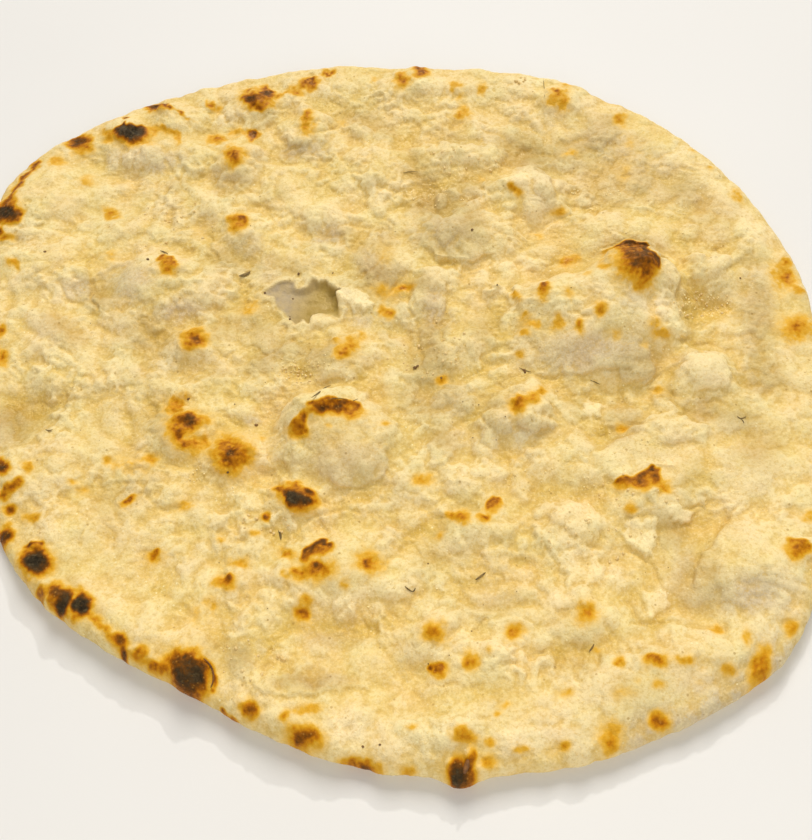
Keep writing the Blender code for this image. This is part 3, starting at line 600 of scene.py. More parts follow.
# Edges of overlapping skin. The side on the right, walking along the line, is higher: the rise in
# millimetres, and the distance in pixels over which it fades away from the edge.
Ledge = namedtuple("Ledge", "rise fade points")
LEDGES = (
    Ledge(0.5, 30, ((0, 226), (40, 231), (62, 233), (85, 245), (97, 262), (103, 270))),
    Ledge(0.5, 10, ((155, 255), (140, 259), (115, 268), (100, 276), (95, 290))),
    Ledge(0.5, 10, ((92, 308), (80, 306), (68, 297), (60, 280))),
    Ledge(0.4, 14, ((215, 262), (200, 252), (180, 243), (165, 239), (145, 235), (130, 228))),
    Ledge(0.25, 14, ((168, 201), (150, 188), (130, 178), (95, 170))),
    Ledge(0.7, 12, ((345, 150), (338, 158), (320, 161), (300, 163), (285, 160), (270, 155))),
    Ledge(0.6, 25, ((310, 136), (330, 133), (345, 128), (358, 127), (375, 130), (390, 137),
                    (402, 144))),
    Ledge(0.4, 14, ((286, 210), (262, 205), (245, 197), (225, 193))),
    Ledge(0.6, 14, ((234, 276), (222, 262), (212, 245), (213, 225))),
    Ledge(0.8, 14, ((405, 152), (420, 145), (440, 143), (470, 143), (490, 145), (503, 153),
                    (511, 161))),
    Ledge(0.4, 8, ((508, 160), (500, 167), (485, 168), (470, 165))),
    Ledge(0.9, 16, ((475, 170), (500, 166), (520, 167), (538, 173), (550, 182), (558, 194),
                    (556, 203))),
    Ledge(0.7, 18, ((520, 240), (540, 230), (560, 222), (580, 218), (600, 213), (620, 208),
                    (650, 208), (680, 216), (705, 232))),
    Ledge(0.8, 20, ((411, 200), (425, 212), (445, 215), (465, 208), (480, 197), (500, 192))),
    Ledge(0.9, 16, ((500, 250), (480, 258), (460, 261), (440, 258), (425, 248))),
    Ledge(1.1, 20, ((600, 252), (612, 246), (632, 242), (648, 245), (658, 255), (662, 266))),
    Ledge(0.5, 12, ((700, 262), (720, 252), (735, 246))),
    Ledge(0.6, 14, ((640, 368), (620, 366), (600, 369), (575, 374), (548, 377), (530, 372))),
    Ledge(0.9, 22, ((617, 438), (632, 426), (650, 417), (668, 414), (685, 417), (697, 424),
                    (715, 427))),
    Ledge(0.6, 14, ((700, 348), (685, 360), (662, 372), (640, 386), (622, 384))),
    Ledge(0.7, 25, ((293, 535), (303, 526), (318, 517), (340, 513), (365, 515))),
    Ledge(0.6, 14, ((390, 460), (380, 478), (360, 487), (340, 484), (330, 478))),
    Ledge(0.8, 40, ((692, 590), (695, 568), (705, 553), (718, 540), (724, 524), (745, 505))),
    Ledge(0.7, 12, ((375, 688), (330, 690), (310, 695), (285, 696), (268, 694), (256, 688),
                    (248, 678))),
    Ledge(0.6, 18, ((433, 660), (445, 650), (460, 642), (480, 640), (500, 645), (512, 655))),
    Ledge(0.4, 16, ((420, 700), (430, 688), (450, 683), (470, 686), (480, 697))),
    Ledge(0.5, 16, ((475, 625), (490, 617), (510, 617), (530, 622), (540, 632))),
    Ledge(0.4, 12, ((409, 440), (415, 428), (428, 424), (432, 440))),
    Ledge(0.4, 14, ((640, 551), (620, 548), (600, 545))),
)

# The burst blister: the edge of its hole, the levels inside it in millimetres, and the columns and
# rows between which its floor changes from shallow to deep, rises to the front and turns golden.
TEAR_EDGE = (
    (263, 293.5), (271, 288.5), (280, 282.5), (288, 281), (295, 281.5), (295.5, 289), (298, 292.5),
    (304, 292), (308.5, 290), (310, 284), (311.5, 280), (316, 280.5), (319, 284), (322, 282.5),
    (325.5, 281), (328.5, 287), (334, 290), (342.5, 293), (337.5, 298.5), (338, 304), (339.5, 312),
    (339, 318.5), (333, 317.5), (327, 319), (320, 320), (313, 321.5), (309, 326), (303, 324),
    (297, 325.5), (291, 322), (287.5, 319.5), (282, 313), (278, 307.5), (275, 301), (269, 297.5),
)
TEAR_FLOOR = 3.9
TEAR_SHALLOW = 1.3
TEAR_FRONT = 1.2
TEAR_LIP = 5.3
DEEPENING_COLUMNS = (272, 306)
RISING_ROWS = (306, 324)
GOLDEN_PIXELS = (438, 472)

# How marks spread and end, in pixels, and the blurs of fields in millimetres.
SCORCH_FADE = 1.8
SCORCH_RAGGED = 0.35
SCORCH_SHIVER = 0.4
SCORCH_REACH = 16
CREST_SHIVER = 0.5
BURN_BACK = 14.0
CREST_ENDS = 7.0
LEDGE_EDGE = 1.6
LEDGE_ENDS = 12.0
LEDGE_GUTTER = 0.2
SHEET_REACH = 12
SHEET_EDGE = (-1, 4)
SHEET_SLOPE = (-1.2, 3.6)
SPOT_REACH = 6
BURN_BLUR = 0.3
TINT_BLUR = 1.5
SKIN_BLUR = 2.0
BUTTER_BLUR = 3.0
RIM_BAND = (8, 18)

WARP_COLUMN = 1.3 * ripples(11, 9) + 0.3 * ripples(12, 3)
WARP_ROW = 1.2 * ripples(13, 9) + 0.3 * ripples(14, 3)
BENT_COLUMN = COLUMN + WARP_COLUMN
BENT_ROW = ROW + WARP_ROW
FLAKE_COLUMN = BENT_COLUMN + 3.0 * ripples(15, 16)
FLAKE_ROW = BENT_ROW + 3.0 * ripples(16, 16)
RAGGED_COLUMN = BENT_COLUMN + 1.3 * ripples(19, 5) + 0.6 * ripples(23, 2.2)
RAGGED_ROW = BENT_ROW + 1.3 * ripples(20, 5) + 0.6 * ripples(24, 2.2)
SHIVER_COLUMN = ripples(17, 3.2)
SHIVER_ROW = ripples(18, 3.2)


def spot_reach(spot, column, row):
    """Squared distance from a spot's middle, which is 1 on its oval."""
    turn = math.radians(spot.turn)
    along = (column - spot.column) * math.cos(turn) + (row - spot.row) * math.sin(turn)
    across = (row - spot.row) * math.cos(turn) - (column - spot.column) * math.sin(turn)
    return (2 * along / spot.wide) ** 2 + (2 * across / spot.high) ** 2


def near(points, margin):
    """The part of the grid that is seen around some pixels, as a pair of slices."""
    columns, rows = zip(*points)
    inside = ((COLUMN > min(columns) - margin) & (COLUMN < max(columns) + margin)
              & (ROW > min(rows) - margin) & (ROW < max(rows) + margin))
    down, over = np.where(inside.any(axis=1))[0], np.where(inside.any(axis=0))[0]
    if not len(down):
        return None
    return slice(down[0], down[-1] + 1), slice(over[0], over[-1] + 1)


def spots_near(spots, margin=SPOT_REACH):
    """Each spot that the grid reaches, with the part of the grid around it."""
    for spot in spots:
        half = max(spot.wide, spot.high) / 2
        corners = ((spot.column - half, spot.row - half), (spot.column + half, spot.row + half))
        box = near(corners, margin)
        if box:
            yield spot, box


def lines_near(lines):
    """Each line that the grid reaches, with the part of the grid around it."""
    for line in lines:
        box = near(line.points, 3 * line.half + SPOT_REACH)
        if box:
            yield line, box


def line_distance(points, column, row):
    """Distance in pixels from a line of straight pieces."""
    nearest = np.full_like(column, 1e9)
    for (c0, r0), (c1, r1) in zip(points, points[1:]):
        length = (c1 - c0) ** 2 + (r1 - r0) ** 2
        t = np.clip(((column - c0) * (c1 - c0) + (row - r0) * (r1 - r0)) / length, 0, 1)
        nearest = np.minimum(nearest, np.hypot(column - c0 - t * (c1 - c0), row - r0 - t * (r1 - r0)))
    return nearest


def beside(points, column, row):
    """Distance in pixels to the right of a line, walking along it, and from the nearer of its ends."""
    nearest = np.full_like(column, 1e9)
    side = np.zeros_like(column)
    along = np.zeros_like(column)
    walked = 0.0
    for (c0, r0), (c1, r1) in zip(points, points[1:]):
        length = math.hypot(c1 - c0, r1 - r0)
        over, down = (c1 - c0) / length, (r1 - r0) / length
        ahead = (column - c0) * over + (row - r0) * down
        right = (row - r0) * over - (column - c0) * down
        t = np.clip(ahead, 0, length)
        far = np.hypot(ahead - t, right)
        closer = far < nearest
        nearest = np.where(closer, far, nearest)
        side = np.where(closer, np.where(right > 0, far, -far), side)
        along = np.where(closer, walked + t, along)
        walked += length
    return side, np.minimum(along, walked - along)


def polygon_depth(corners, column, row):
    """Distance in pixels inside a polygon, and negative outside."""
    closed = corners + corners[:1]
    inside = np.zeros(column.shape, dtype=bool)
    for (c0, r0), (c1, r1) in zip(closed, closed[1:]):
        crosses = (r0 > row) != (r1 > row)
        if r1 != r0:
            inside ^= crosses & (column < (c1 - c0) * (row - r0) / (r1 - r0) + c0)
    return np.where(inside, 1, -1) * line_distance(closed, column, row)


def sheets_near():
    """Each sheet with the part of the grid around it and the distance inside its ragged edge."""
    for sheet in SHEETS:
        box = near(sheet.corners, SHEET_REACH)
        yield sheet, box, polygon_depth(sheet.corners, RAGGED_COLUMN[box], RAGGED_ROW[box])


def strongest(spots, power):
    """The highest of all spots at each point, each falling off smoothly to its oval."""
    total = np.zeros_like(X)
    for spot, box in spots_near(spots, 2 * SPOT_REACH):
        level = np.maximum(1 - spot_reach(spot, BENT_COLUMN[box], BENT_ROW[box]), 0) ** power
        total[box] = np.maximum(total[box], spot.strength * level)
    return total


# ---------------------------------------------------------------------------
# Scorch, skin, and painted shade and light over the grid
# ---------------------------------------------------------------------------
def burn_spots(level):
    """Burns with soft, slightly ragged edges. Dark ones have a flatter middle than pale ones."""
    smoothness = 1 - SCORCH_RAGGED
    column = SCORCH_RAGGED * RAGGED_COLUMN + smoothness * BENT_COLUMN + SCORCH_SHIVER * SHIVER_COLUMN
    row = SCORCH_RAGGED * RAGGED_ROW + smoothness * BENT_ROW + SCORCH_SHIVER * SHIVER_ROW
    for spot, box in spots_near(SCORCH_SPOTS, SCORCH_REACH):
        power = 1.0 + 0.6 * smooth(0.55, 1.1, spot.strength)
        reach = spot_reach(spot, column[box], row[box]) ** power
        level[box] = np.maximum(level[box], spot.strength * np.exp(-SCORCH_FADE * reach))
    for line, box in lines_near(SCORCH_LINES):
        reach = (line_distance(line.points, column[box], row[box]) / (1.4 * line.half)) ** 2
        level[box] = np.maximum(level[box], line.strength * np.exp(-SCORCH_FADE * reach))


def burn_crests(level):
    """Burns that end sharply at a crest, and the clean crust on the crest's far side."""
    column = BENT_COLUMN + CREST_SHIVER * SHIVER_COLUMN
    row = BENT_ROW + CREST_SHIVER * SHIVER_ROW
    for crest in CRESTS:
        box = near(crest.points, 2.5 * BURN_BACK)
        side, inward = beside(crest.points, column[box], row[box])
        ends = smooth(0, CREST_ENDS, inward)
        burnt = smooth(-1.0, 0.8, side)
        level[box] *= 1 - ends * (1 - burnt) * smooth(-1.5 * BURN_BACK, -BURN_BACK, side)
        fading = np.exp(-((np.maximum(side, 0) / crest.depth) ** 1.6))
        level[box] = np.maximum(level[box], crest.strength * ends * burnt * fading)
    for line, box in lines_near(CLEAN_LINES):
        level[box] *= 1 - line.strength * hump(line_distance(line.points, column[box], row[box]), line.half)


def scorch_field():
    """How burnt the crust is: 0 where clean, about 0.4 where orange, 0.6 where brown, 1.4 where black."""
    level = np.zeros_like(X)
    burn_spots(level)
    burn_crests(level)
    patchy = 0.10 * ripples(21, 4.5) + 0.10 * ripples(22, 1.8)
    patchy = 1 + patchy * (1 - 0.55 * smooth(0.55, 0.8, level))
    return np.clip(np.maximum(blur(level, BURN_BLUR), 0) * patchy, 0, 2)


def pale_and_painted_light_field():
    """Where the crust is made pale: on flakes, on sheets and in spots, the spots partly as painted light."""
    pale = np.maximum(strongest(FLAKE_SPOTS, 0.4), 0.8 * blur(strongest(PALE_AND_PAINTED_LIGHT_SPOTS, 0.6), TINT_BLUR))
    for sheet, box, depth in sheets_near():
        pale[box] = np.maximum(pale[box], sheet.pale * smooth(*SHEET_EDGE, depth))
    return pale


SCORCH = scorch_field()
PALE_AND_PAINTED_LIGHT = pale_and_painted_light_field()
SKIN = np.clip(blur(strongest(SKIN_SPOTS, 0.7), SKIN_BLUR), 0, 1)
COOL_FILM_AND_SHADE = np.clip(blur(strongest(COOL_FILM_AND_SHADE_SPOTS, 0.6), TINT_BLUR), 0, 1)
PAINTED_SHADE = np.clip(blur(strongest(PAINTED_SHADE_SPOTS, 0.6), TINT_BLUR), 0, 1)
RIM = 1 - smooth(*RIM_BAND, INSET)


# ---------------------------------------------------------------------------
# Fine relief: flakes, folds, bumps, granules and wrinkles, in millimetres
# ---------------------------------------------------------------------------
# Layers of rounded lumps: seed, size, rise, the share of it on smooth skin, and whether the lumps
# are stronger in some patches.
Lumps = namedtuple("Lumps", "seed size rise kept patchy")
LUMPS = (
    Lumps(41, 15, 0.32, 0.35, False),
    Lumps(42, 8, 0.13, 0.25, True),
    Lumps(43, 4.4, 0.06, 0.0, True),
    Lumps(44, 2.4, 0.035, 0.2, False),
)
# Layers of pads: seed, spacing, rise, the share of it on smooth skin, how strongly the rise varies,
# the seed, size and least of that, and how much the pads change the tone.
Pads = namedtuple("Pads", "seed size rise kept vary vary_seed vary_size least tone")
PADS = (
    Pads(45, 17.0, 1.10, 0.30, 0.0, 34, 30, 0.2, 0.4),
    Pads(55, 9.5, 0.85, 0.15, 0.5, 34, 30, 0.2, 0.5),
    Pads(65, 5.2, 0.50, 0.10, 0.6, 35, 22, 0.1, 0.4),
    Pads(75, 2.7, 0.22, 0.15, 0.6, 36, 18, 0.1, 0.3),
)
PAD_SHARE = 0.65
EVENED = 0.4
FLAKE_GROOVE = 0.1
SHEET_GROOVE = 0.12
# Relief wider than this many millimetres is left to the solid.
BROADEST_RELIEF = 16.0
# What is below or above its surroundings, whose sizes are in millimetres.
HOLLOW_SIZE = 2.2
CREASE_SIZE = 0.9
DEEP_SIZES = (1.5, 7.0)
# How slopes that face the front are found, and the steepnesses between which they are painted grey as shade.
SLOPE_BLUR = 1.8
PAINTED_SHADE_SLOPES = (0.08, 0.45)
HOLE_EDGE = (-0.8, 1.4)
HOLE_SLOPE = (-0.8, 7.0)
HOLE_MARGIN = (-26, -3)


def pads(layer):
    """Pads on a share of the surface, each with a crisp edge on one side and running out on the
    other: their height, and their tone."""
    seed, size = layer.seed, layer.size
    x = X + 0.13 * size * ripples(seed + 1, size * 0.9) + 0.05 * size * ripples(seed + 3, size * 0.3)
    y = Y + 0.13 * size * ripples(seed + 2, size * 0.9) + 0.05 * size * ripples(seed + 4, size * 0.3)
    right, ahead, chance, other, gap = cells(seed, size, x, y)
    amount = np.maximum(chance - 1 + PAD_SHARE, 0) / PAD_SHARE
    bearing = 2 * math.pi * (7 * other % 1)
    lean = right * np.cos(bearing) + ahead * np.sin(bearing)
    far = np.hypot(right, 1.2 * ahead) / (0.42 + 0.33 * other)
    dome = np.sqrt(np.clip(np.minimum(1 - far**2, gap / 0.35), 0, 1)) * (amount > 0)
    dome = dome * smooth(-0.75, 0.0, lean)
    return blur(layer.rise * (0.4 + 0.6 * amount) * dome, 0.3), dome * (other - 0.25)


def billows(seed, size):
    """Rounded lumps with sharp creases between them, about 0 on average."""
    return np.abs(ripples(seed, size, 0.35)) - 0.8


def uneven(amount, seed, size, least):
    """A factor about 1 that varies from place to place."""
    return np.clip(1 + amount * ripples(seed, size), least, 2)


PAD_HEIGHTS, PAD_TONES = zip(*map(pads, PADS))


def dough_relief():
    """Relief of the bare dough: swells, lumps and pads, and wrinkles where the skin is smooth."""
    calm = np.clip(SKIN + 0.5 * RIM, 0, 1)
    rough = 1 - 0.8 * calm
    patchy = uneven(0.45, 33, 26, 0.2)
    relief = 0.26 * ripples(31, 16, 0.5)
    for lumps in LUMPS:
        rise = (lumps.kept + (1 - lumps.kept) * rough) * lumps.rise
        relief = relief + rise * (patchy if lumps.patchy else 1) * billows(lumps.seed, lumps.size)
    relief = relief + (0.35 + 0.65 * rough) * 0.028 * ripples(71, 1.5, 0.3)
    for layer, height in zip(PADS, PAD_HEIGHTS):
        vary = uneven(layer.vary, layer.vary_seed, layer.vary_size, layer.least)
        relief = relief + (layer.kept + (1 - layer.kept) * rough) * vary * height
    wrinkles = ripples(81, 2.4, 0.25, 2.6, -20) * np.clip(ripples(82, 22), 0, 2)
    return relief + calm * (0.05 * wrinkles + 0.04 * ripples(83, 3.6, 0.3))


def add_flakes(relief):
    """Rounded flakes and flat sheets, which even out what they cover and have a groove around them."""
    for spot, box in spots_near(FLAKE_SPOTS):
        reach = spot_reach(spot, FLAKE_COLUMN[box], FLAKE_ROW[box])
        top = np.maximum(1 - reach, 0) ** 0.6
        relief[box] = relief[box] * (1 - EVENED * np.minimum(top * 2, 1)) + spot.strength * top
        relief[box] -= FLAKE_GROOVE * hump(np.sqrt(reach) - 1.08, 0.12)
    for sheet, box, depth in sheets_near():
        evened = EVENED * smooth(*SHEET_EDGE, depth)
        relief[box] = relief[box] * (1 - evened) + sheet.rise * smooth(*SHEET_SLOPE, depth)
        relief[box] -= SHEET_GROOVE * hump(depth + 2, 1.6)


def add_domes(relief):
    """Broad rises, which keep to their exact place."""
    for spot, box in spots_near(DOME_SPOTS):
        relief[box] += spot.strength * np.maximum(1 - spot_reach(spot, COLUMN[box], ROW[box]), 0)


def add_folds(relief):
    """Folds and creases along lines, and ledges where one skin lies over another."""
    for line, box in lines_near(FOLDS):
        far = line_distance(line.points, BENT_COLUMN[box], BENT_ROW[box])
        relief[box] += line.strength * hump(far, line.half)
    for ledge in LEDGES:
        box = near(ledge.points, 3 * ledge.fade)
        side, inward = beside(ledge.points, BENT_COLUMN[box], BENT_ROW[box])
        step = smooth(-LEDGE_EDGE, LEDGE_EDGE, side) * np.exp(-np.maximum(side, 0) / ledge.fade)
        gutter = hump(side + 1.5 * LEDGE_EDGE, LEDGE_EDGE)
        relief[box] += ledge.rise * smooth(0, LEDGE_ENDS, inward) * (step - LEDGE_GUTTER * gutter)


def fill_hollows(relief):
    """Hollows filled up to their level, with a part of the relief left on the fill."""
    for spot, box in spots_near(FILL_SPOTS):
        inner = smooth(0, 0.5, 1 - spot_reach(spot, COLUMN[box], ROW[box]))
        relief[box] += inner * np.maximum(spot.strength - HEIGHT[box] - 0.6 * relief[box], 0)


def fine_relief():
    """All the relief that the solid leaves out, with the burns blistered and the hole left bare."""
    relief = dough_relief()
    add_flakes(relief)
    add_domes(relief)
    add_folds(relief)
    fill_hollows(relief)
    blistered = smooth(0.5, 1.2, SCORCH)
    relief = relief + blistered * (0.12 * ripples(91, 1.6, 0.3) + 0.14 * ripples(92, 3.2, 0.3) - 0.15)
    return relief * (1 - TEAR)


def mend_tear(height):
    """Fills the solid's hollow up to the edge of the hole, so that the hole can be cut crisply."""
    margin = smooth(*HOLE_MARGIN, TEAR_DEPTH)
    lip = TEAR_LIP + 0.5 * hump(TEAR_DEPTH + 3, 4)
    return height + margin * np.maximum(lip - height, 0)


def tear_floor():
    """Height of the floor inside the burst blister."""
    shallow = TEAR_SHALLOW * (1 - smooth(*DEEPENING_COLUMNS, COLUMN))
    return TEAR_FLOOR + shallow + TEAR_FRONT * smooth(*RISING_ROWS, ROW) + 0.12 * ripples(95, 6)


TEAR_DEPTH = polygon_depth(TEAR_EDGE, COLUMN + 0.3 * WARP_COLUMN, ROW + 0.3 * WARP_ROW)
TEAR = smooth(*HOLE_EDGE, TEAR_DEPTH)
TEAR_SIDE = smooth(*GOLDEN_PIXELS, COLUMN + 0.5 * ROW)
HEIGHT = mend_tear(HEIGHT)
CUT = smooth(*HOLE_SLOPE, TEAR_DEPTH) * (tear_floor() - HEIGHT)
RELIEF = fine_relief()
RELIEF = RELIEF - blur(RELIEF, BROADEST_RELIEF)
SURFACE = HEIGHT + RELIEF + CUT
HOLLOW = blur(SURFACE, HOLLOW_SIZE) - SURFACE
CREASE = blur(SURFACE, CREASE_SIZE) - SURFACE
DEEP = blur(SURFACE, DEEP_SIZES[1]) - blur(SURFACE, DEEP_SIZES[0])
FACING = np.gradient(blur(SURFACE, SLOPE_BLUR), STEP, axis=0)
TONE = sum(layer.tone * tone for layer, tone in zip(PADS, PAD_TONES)) + 0.1 * ripples(61, 12)
TONE = TONE * (1 - 0.55 * SKIN)


def painted_shade_grey_field():
    """Painted shade: grey in its spots and on slopes that face the front, away from the key light, outside
    the hole.
    """
    grey = np.clip(strongest(PAINTED_SHADE_GREY_SPOTS, 0.6), 0, 1)
    return np.clip(grey + 0.3 * smooth(*PAINTED_SHADE_SLOPES, FACING), 0, 1) * (1 - TEAR)


def butter_field():
    """Butter soaked in at its spots and pooled in hollows, in patches."""
    soaked = blur(strongest(BUTTER_SPOTS, 0.8), BUTTER_BLUR)
    patchy = 0.5 + 0.28 * ripples(101, 26) + 0.16 * ripples(102, 9)
    pooled = smooth(-0.1, 1.2, DEEP) * np.clip(patchy + 0.3, 0, 1.2)
    return np.clip(0.75 * soaked + 0.55 * pooled + 0.25 * (patchy - 0.5), 0, 1)


PAINTED_SHADE_GREY = painted_shade_grey_field()
BUTTER = butter_field() * (1 - 0.5 * RIM) * (1 - 0.4 * PAINTED_SHADE_GREY)
# Fields that the crust carries; "grey", "hollow" and "crease" also drive painted shade and light, and "pale"
# partly painted light.
FIELDS = {
    "scorch": SCORCH, "butter": BUTTER, "skin": SKIN, "grey": PAINTED_SHADE_GREY, "pale": PALE_AND_PAINTED_LIGHT, "cool_film_and_shade": COOL_FILM_AND_SHADE,
    "painted_shade": PAINTED_SHADE, "hollow": HOLLOW, "crease": CREASE, "tone": TONE, "tear": TEAR, "side": TEAR_SIDE,
}


# ---------------------------------------------------------------------------
# Materials
# ---------------------------------------------------------------------------
CREAM = (0.83, 0.628, 0.25)
# Paler creams: the first for random tone and as painted light on raised tops, the second for pale flakes and
# for painted light.
PALE_TONE_AND_TOP_LIGHT = (0.88, 0.75, 0.43)
WHITISH = (0.90, 0.755, 0.45)
BUTTERED = (0.65, 0.425, 0.085)
# Grey used both for darker random tone and for painted shade.
GREY_TONE_AND_SHADE = (0.61, 0.49, 0.30)
# Bluish grey for painted shade, and for a few lilac films.
COOL_FILM_AND_SHADE_COLOUR = (0.59, 0.50, 0.36)
# Painted shade in hollows, partly pooled butter, and painted shade in creases.
HOLLOW_BUTTER_AND_SHADE_GOLD = (0.77, 0.53, 0.13)
CREASE_SHADE_GOLD = (0.58, 0.385, 0.10)
CRUMB_LOW = (0.64, 0.41, 0.095)
CRUMB_HIGH = (0.92, 0.75, 0.41)
DOT_BROWN = (0.36, 0.20, 0.04)
# Colour of the painted glints on fat.
PAINTED_BEAD_GLINT = (1.0, 0.90, 0.55)
ROSY_TINT = (1.01, 0.985, 1.005)
GREEN_TINT = (0.992, 1.012, 0.98)
# Multipliers for painted shade, and for paleness that is partly painted light.
PAINTED_SHADE_TINT = (0.72, 0.66, 0.52)
PALE_AND_PAINTED_LIGHT_TINT = (1.12, 1.14, 1.18)
TEAR_LEFT = (0.42, 0.335, 0.22)
TEAR_RIGHT = (0.38, 0.255, 0.055)
TEAR_PATCH = (0.55, 0.40, 0.16)
ASH = (0.10, 0.072, 0.036)
# Paler fleck colour in burns, partly a painted glint.
BURNT_FLECK_AND_GLINT = (0.66, 0.33, 0.06)
GLOSS_TINT = (1.0, 0.82, 0.38)
GLOSS_LEVEL = 0.24
RAMP_TOP = 1.4
SCORCH_RAMP = (
    (0.00, (0.840, 0.600, 0.220)),
    (0.12, (0.820, 0.510, 0.100)),
    (0.21, (0.750, 0.425, 0.045)),
    (0.31, (0.670, 0.325, 0.012)),
    (0.42, (0.540, 0.205, 0.003)),
    (0.55, (0.330, 0.102, 0.002)),
    (0.69, (0.175, 0.055, 0.003)),
    (0.84, (0.085, 0.032, 0.006)),
    (1.02, (0.046, 0.026, 0.012)),
    (1.40, (0.016, 0.012, 0.009)),
)


class Nodes:
    """Short calls for laying out one material's nodes."""

    def __init__(self, name):
        self.material = bpy.data.materials.new(name)
        self.material.use_nodes = True
        self.tree = self.material.node_tree
        self.shader = self.tree.nodes["Principled BSDF"]
        coordinates = self.tree.nodes.new("ShaderNodeTexCoord")
        self.place = coordinates.outputs["Object"]

    def put(self, socket, value):
        """Links an output to a socket, or sets the socket's own value."""
        if isinstance(value, bpy.types.NodeSocket):
            self.tree.links.new(value, socket)
        elif isinstance(value, tuple) and len(value) == 3 and socket.type == "RGBA":
            socket.default_value = (*value, 1)
        else:
            socket.default_value = value

    def finish(self, values):
        """Links or sets the shader's sockets by their names, and gives the finished material."""
        for name, value in values.items():
            self.put(self.shader.inputs[name], value)
        return self.material

    def field(self, name):
        made = self.tree.nodes.new("ShaderNodeAttribute")
        made.attribute_name = name
        return made.outputs["Fac"]

    def noise(self, size, detail=2.0, roughness=0.5):
        """Noise with features of a size in millimetres, about 0.5 on average."""
        made = self.tree.nodes.new("ShaderNodeTexNoise")
        self.put(made.inputs["Vector"], self.place)
        self.put(made.inputs["Scale"], 1 / (size * MM))
        self.put(made.inputs["Detail"], detail)
        self.put(made.inputs["Roughness"], roughness)
        return made.outputs["Fac"]

    def dots(self, size, radius, share):
        """Small round dots: their spacing in millimetres, their radius in spacings, and how many show."""
        made = self.tree.nodes.new("ShaderNodeTexVoronoi")
        self.put(made.inputs["Vector"], self.place)
        self.put(made.inputs["Scale"], 1 / (size * MM))
        split = self.tree.nodes.new("ShaderNodeSeparateColor")
        self.put(split.inputs[0], made.outputs["Color"])
        shown = self.maths("GREATER_THAN", split.outputs[0], 1 - share)
        return self.times(self.span(made.outputs["Distance"], radius, 0.6 * radius), shown)

    def maths(self, operation, *values, clamp=False):
        made = self.tree.nodes.new("ShaderNodeMath")
        made.operation = operation
        made.use_clamp = clamp
        for socket, value in zip(made.inputs, values):
            self.put(socket, value)
        return made.outputs[0]

    def times(self, first, second):
        return self.maths("MULTIPLY", first, second)

    def plus(self, first, second, clamp=False):
        return self.maths("ADD", first, second, clamp=clamp)

    def span(self, value, low, high, to_low=0.0, to_high=1.0):
        """A value between low and high, stretched to another range and held at its ends."""
        made = self.tree.nodes.new("ShaderNodeMapRange")
        for name, number in zip(("Value", "From Min", "From Max", "To Min", "To Max"),
                                (value, low, high, to_low, to_high)):
            self.put(made.inputs[name], number)
        return made.outputs["Result"]

    def mix(self, amount, first, second, blend="MIX"):
        made = self.tree.nodes.new("ShaderNodeMix")
        made.data_type = "RGBA"
        made.blend_type = blend
        made.clamp_factor = True
        for socket, value in zip((made.inputs[0], made.inputs[6], made.inputs[7]), (amount, first, second)):
            self.put(socket, value)
        return made.outputs[2]

    def grey(self, value):
        made = self.tree.nodes.new("ShaderNodeCombineColor")
        for socket in made.inputs:
            self.put(socket, value)
        return made.outputs["Color"]

    def ramp(self, value, stops, top):
        """A colour ramp over values from 0 to top."""
        made = self.tree.nodes.new("ShaderNodeValToRGB")
        self.put(made.inputs["Fac"], self.times(value, 1 / top))
        points = made.color_ramp.elements
        while len(points) < len(stops):
            points.new(0.5)
        for point, (place, colour) in zip(points, stops):
            point.position = place / top
            point.color = (*colour, 1)
        return made.outputs["Color"]

    def bump(self, height, depth, before=None):
        """Bump from a 0 to 1 height; depth is how many millimetres 1 stands for."""
        made = self.tree.nodes.new("ShaderNodeBump")
        made.inputs["Strength"].default_value = 1.0
        made.inputs["Distance"].default_value = depth * MM
        self.put(made.inputs["Height"], height)
        if before is not None:
            self.put(made.inputs["Normal"], before)
        return made.outputs["Normal"]


def dough_colour(n, wet):
    """Cream dough, paler and greyer with its tone, warmer with butter, and marked by its own fields, several
    of which paint shade and light.
    """
    tone = n.plus(n.field("tone"), n.span(n.noise(2.2, 3.0, 0.6), 0.3, 0.7, -0.25, 0.25))
    colour = n.mix(n.span(n.noise(38.0), 0.35, 0.65, 0.0, 0.5), CREAM, PALE_TONE_AND_TOP_LIGHT)
    colour = n.mix(n.span(tone, 0.05, 0.7, 0.0, 0.9), colour, PALE_TONE_AND_TOP_LIGHT)
    colour = n.mix(n.span(tone, -0.05, -0.7, 0.0, 0.45), colour, GREY_TONE_AND_SHADE)
    colour = n.mix(wet, colour, BUTTERED)
    # Painted shade: grey on shaded spots and on slopes that face the front.
    colour = n.mix(n.times(n.field("grey"), 0.75), colour, GREY_TONE_AND_SHADE)
    # Mostly painted shade: bluish grey on faces turned from the key light, with a few lilac films.
    colour = n.mix(n.times(n.field("cool_film_and_shade"), 0.9), colour, COOL_FILM_AND_SHADE_COLOUR)
    # Paler flakes and sheets, and spots that are partly painted light.
    colour = n.mix(n.times(n.field("pale"), 0.85), colour, WHITISH)
    # Painted shade and light from the relief: hollows turn a darker gold, partly pooled butter and partly
    # painted shade; raised tops turn paler as painted light; creases darken as painted shade.
    hollow = n.field("hollow")
    colour = n.mix(n.span(hollow, 0.02, 0.4, 0.0, 0.45), colour, HOLLOW_BUTTER_AND_SHADE_GOLD)
    colour = n.mix(n.span(hollow, -0.05, -0.35, 0.0, 0.4), colour, PALE_TONE_AND_TOP_LIGHT)
    return n.mix(n.span(n.field("crease"), 0.02, 0.12, 0.0, 0.32), colour, CREASE_SHADE_GOLD)


